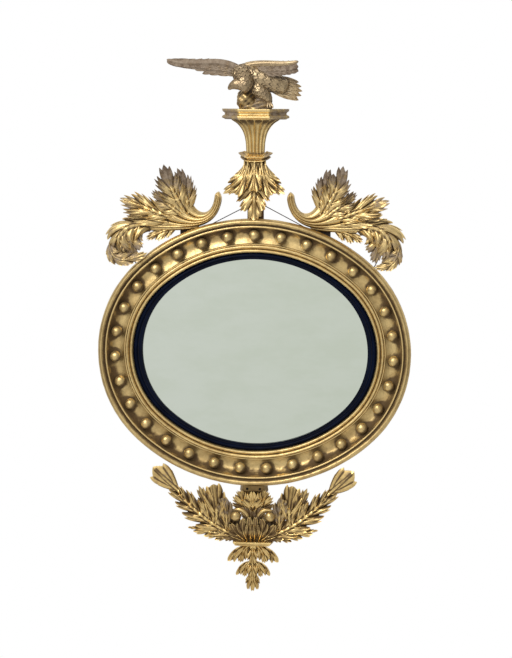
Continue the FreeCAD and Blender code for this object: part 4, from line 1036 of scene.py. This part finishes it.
body = [
    limb(perch((-44, 52, 88), (-26, 54, 92), (26, 50, 72), (84, 46, 52)), [16, 30, 36, 14],
         relief=plumage(9, 14, 2.4), dull=0.1, rows=150, around=120, deep=1.1),
    limb(perch((-36, 52, 90), (-26, 76, 84), (-12, 82, 60), (-30, 78, 54)), [20, 25, 21, 16], front=RIGHT,
         relief=plumage(7, 12, 2.4), dull=0.3, rows=110, around=90, deep=1.1),
    limb(perch((-10, 80, 56), (-30, 82, 66), (-54, 81, 62), (-61, 79, 47)), [15, 19, 11, 3], dull=0.3,
         relief=plumage(6, 10, 1.3), deep=1.1),
    limb(perch((2, 58, 58), (12, 66, 44), (36, 62, 36), (36, 54, 13)), [19, 20, 13, 7],
         relief=plumage(8, 10, 2.2), dull=-0.1, rows=110, around=80, deep=1.1),
    limb(perch((-6, 52, 70), (-8, 52, 52), (-8, 50, 40)), [14, 12, 7], relief=plumage(5, 9, 1.2), dull=0.3),
]
for spread in (-7, 0, 7):
    body.append(limb(perch((35, 54, 15), (38 + 0.6 * spread, 66, 18), (41 + spread, 71, 3)),
        [4.2, 4.4, 1.2], front=RIGHT, rows=30, around=20, dull=0.5))
body.append(shell(ball(perch((-45, 91, 60)), 2.6, 3), reach=0, dull=0.9))
make("eagle_body", body, eagle_gold)

rock = limb(perch((-19, 52, 3), (-21, 53, 24), (-19, 54, 45)), [16, 34, 15], front=RIGHT, dull=0.2,
    relief=lambda s, turn: 1.6 * np.sin(3 * turn + 6 * s) + 1.4 * np.sin(5 * turn - 11 * s)
    + 0.8 * np.sin(9 * turn + 19 * s))
base = limb(perch((-40, 47, 8), (4, 47, 12), (44, 47, 5)), [14, 30, 30, 10], squash=0.9, front=UP, dull=0.6,
    relief=lambda s, turn: 2.6 * np.sin(4 * turn + 7 * s) + 1.8 * np.sin(9 * turn - 16 * s))
points = base[0].copy()
points[:, 2] = perch_height + np.clip(0.8 * (points[:, 2] - perch_height), 0.0, 30)
heap = limb(perch((-12, 46, 16), (14, 48, 26), (34, 46, 14)), [14, 22, 12], front=UP, dull=0.7,
    relief=lambda s, turn: 2.2 * np.sin(5 * turn + 9 * s) + 1.5 * np.sin(8 * turn - 13 * s))
make("eagle_rock", [rock, (points, *base[1:]), heap], rock_gold)


def wing_of(arm, drops, first, last, reach, dulls, edge):
    """Flight feathers hung along a Bezier arm, each with its drop, under coverts and a rounded edge."""
    shells = []
    for row, (share_of_drop, back) in enumerate(((1.0, 0.24), (0.55, 0.16))):
        for k, drop in enumerate(drops):
            share = first + (last - first) * k / (len(drops) - 1)
            root = curve(arm, [max(0.0, share - back)])[0][0] + FRONT * (2.0 + 3.0 * row - 0.2 * k)
            tip = curve(arm, [min(1.0, share + reach * (1 - 0.4 * row))])[0][0] - UP * drop * share_of_drop
            tip = tip + FRONT * (1 + 3 * row)
            dull = dulls[0] + (dulls[1] - dulls[0]) * share
            shells.append(feather(root, tip, -UP * 0.16 * drop, 10.0 - 1.5 * row, dull))
    return (shells + [limb(arm + FRONT * 3, [8.5, 8.5, 7.5, 4.0], squash=0.8, reeds=7, reed_depth=0.12,
        dull=edge, rows=110, around=48)])


arm = perch((-34, 48, 94), (-90, 54, 134), (-150, 46, 98), (-220, 38, 120))
make("eagle_left_wing", wing_of(arm, [16, 24, 29, 30, 28, 18, 12, 10, 8, 7], 0.10, 0.97, 0.06, (0.6, 1.1),
    0.9), eagle_gold)
arm = perch((-26, 56, 104), (24, 68, 119), (68, 86, 104), (112, 95, 117))
make("eagle_right_wing", wing_of(arm, [24, 28, 30, 30, 28, 27, 27, 26, 24], 0.22, 1.0, 0.06, (0.5, 1.1),
    -0.6), eagle_gold)

tail = []
for k, lean in enumerate(np.linspace(-1, 1, 9)):
    root, tip = perch((40, 46 + 3 * math.cos(2 * lean), 62 + 9 * lean),
        (117 - 9 * abs(lean) ** 2 - 7 * (k % 2), 42 + 3 * (k % 2), 44 + 22 * lean))
    tail.append(feather(root, tip, UP * 3 * lean, 9.5, 0.5 if lean > 0.6 else -0.8 - 0.3 * (k % 2)))
# painted light: the tail is made lighter all over
make("eagle_tail", tail, eagle_gold, glaze_and_shade=-0.35)


# ---------------------------------------------------------------- umber glaze and painted shade over the gilding
# The finished gilding was brushed with thin umber and wiped while wet, so it lies wherever the carving is
# deep;
# the same darkening is also painted shade in recesses and between pieces. Seen from the front, a place is as
# deep as it lies behind the mean of the surfaces round it.
cell = 0.0015
carved_pieces = [o for o in bpy.context.scene.objects if o.type == "MESH" and "hollow" in o.data.attributes]
placed = []
for piece in carved_pieces:
    values = np.empty(3 * len(piece.data.vertices), np.float32)
    piece.data.vertices.foreach_get("co", values)
    placed.append(values.reshape(-1, 3).astype(float))
every = np.concatenate(placed)
origin = every[:, [0, 2]].min(0) - 20 * cell
size = np.ceil((every[:, [0, 2]].max(0) - origin) / cell).astype(int) + 20
relief_map = np.full(size, -1.0)
where = ((every[:, [0, 2]] - origin) / cell).astype(int)
np.maximum.at(relief_map, (where[:, 0], where[:, 1]), -every[:, 1])
for axis in (0, 1, 0, 1):
    relief_map = np.maximum(relief_map, np.maximum(np.roll(relief_map, 1, axis),
        np.roll(relief_map, -1, axis)))
there = (relief_map > -0.5).astype(float)


def box_mean(values, reach):
    """The mean of each cell's neighbours within that many cells, by running sums along both ways."""
    for axis in (0, 1):
        total = np.cumsum(values, axis)
        values = (np.roll(total, -reach, axis) - np.roll(total, reach + 1, axis)) / (2 * reach + 1)
    return values


near = box_mean(relief_map * there, 4) / (box_mean(there, 4) + 1e-6)
wide = box_mean(relief_map * there, 10) / (box_mean(there, 10) + 1e-6)
for piece, points in zip(carved_pieces, placed):
    across, up = ((points[:, [0, 2]] - origin) / cell).astype(int).T
    # glaze and painted shade: places that lie behind their neighbours, between pieces too, are darkened
    sunk = 0.40 * (near[across, up] + points[:, 1]) / 0.004 + 0.20 * (wide[across, up] + points[:, 1]) / 0.012
    hollow, values = piece.data.attributes["hollow"].data, np.empty(len(points), np.float32)
    hollow.foreach_get("value", values)
    hollow.foreach_set("value", (values + np.tanh(sunk) * 0.75).astype(np.float32))


# ---------------------------------------------------------------- light, floor and camera
# A white studio: soft light from all round, one large key lamp up on the left, and a pale floor well below
# the mirror. The camera stands a little to the right of the mirror and above it.
world = bpy.data.worlds.new("studio")
bpy.context.scene.world = world
world.use_nodes = True
tree = world.node_tree
tree.nodes.clear()
ray = Signal(tree.nodes.new("ShaderNodeLightPath").outputs["Is Camera Ray"])
aim = ray.node("ShaderNodeTexCoord", {}, {}, "Generated")
upward = aim.part("Z")
ahead = aim.node("ShaderNodeVectorMath", {"operation": "DOT_PRODUCT"}, {0: aim, 1: (-0.16, -0.98, -0.11)},
    "Value")
behind = aim.part("Y").step(-0.05, 0.55)
glow = upward.step(-0.5, 0.8) * 0.36 + 0.19 + ahead.step(0.55, 0.985) * 0.51 + behind * 0.5
seen = ray.mix(glow, (1.0, 1.0, 1.0))
shader = ray.node("ShaderNodeBackground", {}, {"Color": seen, "Strength": 1.0})
tree.links.new(shader.socket, tree.nodes.new("ShaderNodeOutputWorld").inputs["Surface"])

key_place = np.array([-1.2, -2.3, 2.1])
key = bpy.data.lights.new("key", "AREA")
key.size, key.energy, key.color = 1.3, 52, (1.0, 0.985, 0.96)
box = bpy.data.objects.new("key", key)
box.location = key_place
way = -key_place / np.linalg.norm(key_place)
box.rotation_euler = (math.acos(-way[2]), 0, math.atan2(-way[0], way[1]))
bpy.context.scene.collection.objects.link(box)

floor_depth, floor_half = -1.6, 2.9
mesh = bpy.data.meshes.new("floor")
signs = ((-1, -1), (1, -1), (1, 1), (-1, 1))
mesh.from_pydata([(x * floor_half, y * floor_half, floor_depth) for x, y in signs], [], [(0, 1, 2, 3)])
mesh.materials.append(finish("pale_floor", lambda place: {
    "Base Color": place.noise(3, 3.0).mix((0.80, 0.80, 0.79), (0.84, 0.84, 0.83)), "Roughness": 0.85}))
floor = bpy.data.objects.new("floor", mesh)
bpy.context.scene.collection.objects.link(floor)

camera_yaw, camera_pitch, camera_roll = math.radians(6.5), math.radians(6.5), math.radians(-0.25)
camera_distance, camera_focal = 6.0, 169.8
middle = np.array([0.0034, -0.056, 0.0605])
away = np.array([math.sin(camera_yaw) * math.cos(camera_pitch),
    -math.cos(camera_yaw) * math.cos(camera_pitch), math.sin(camera_pitch)])
lens = bpy.data.cameras.new("camera")
lens.sensor_fit, lens.sensor_width, lens.lens = "HORIZONTAL", 36.0, camera_focal
camera = bpy.data.objects.new("camera", lens)
camera.location = middle + away * camera_distance
bpy.context.scene.collection.objects.link(camera)
camera.rotation_mode = "XYZ"
camera.rotation_euler = (math.pi / 2 - camera_pitch, camera_roll, camera_yaw)
bpy.context.scene.camera = camera
bpy.context.scene.view_settings.view_transform = "Standard"
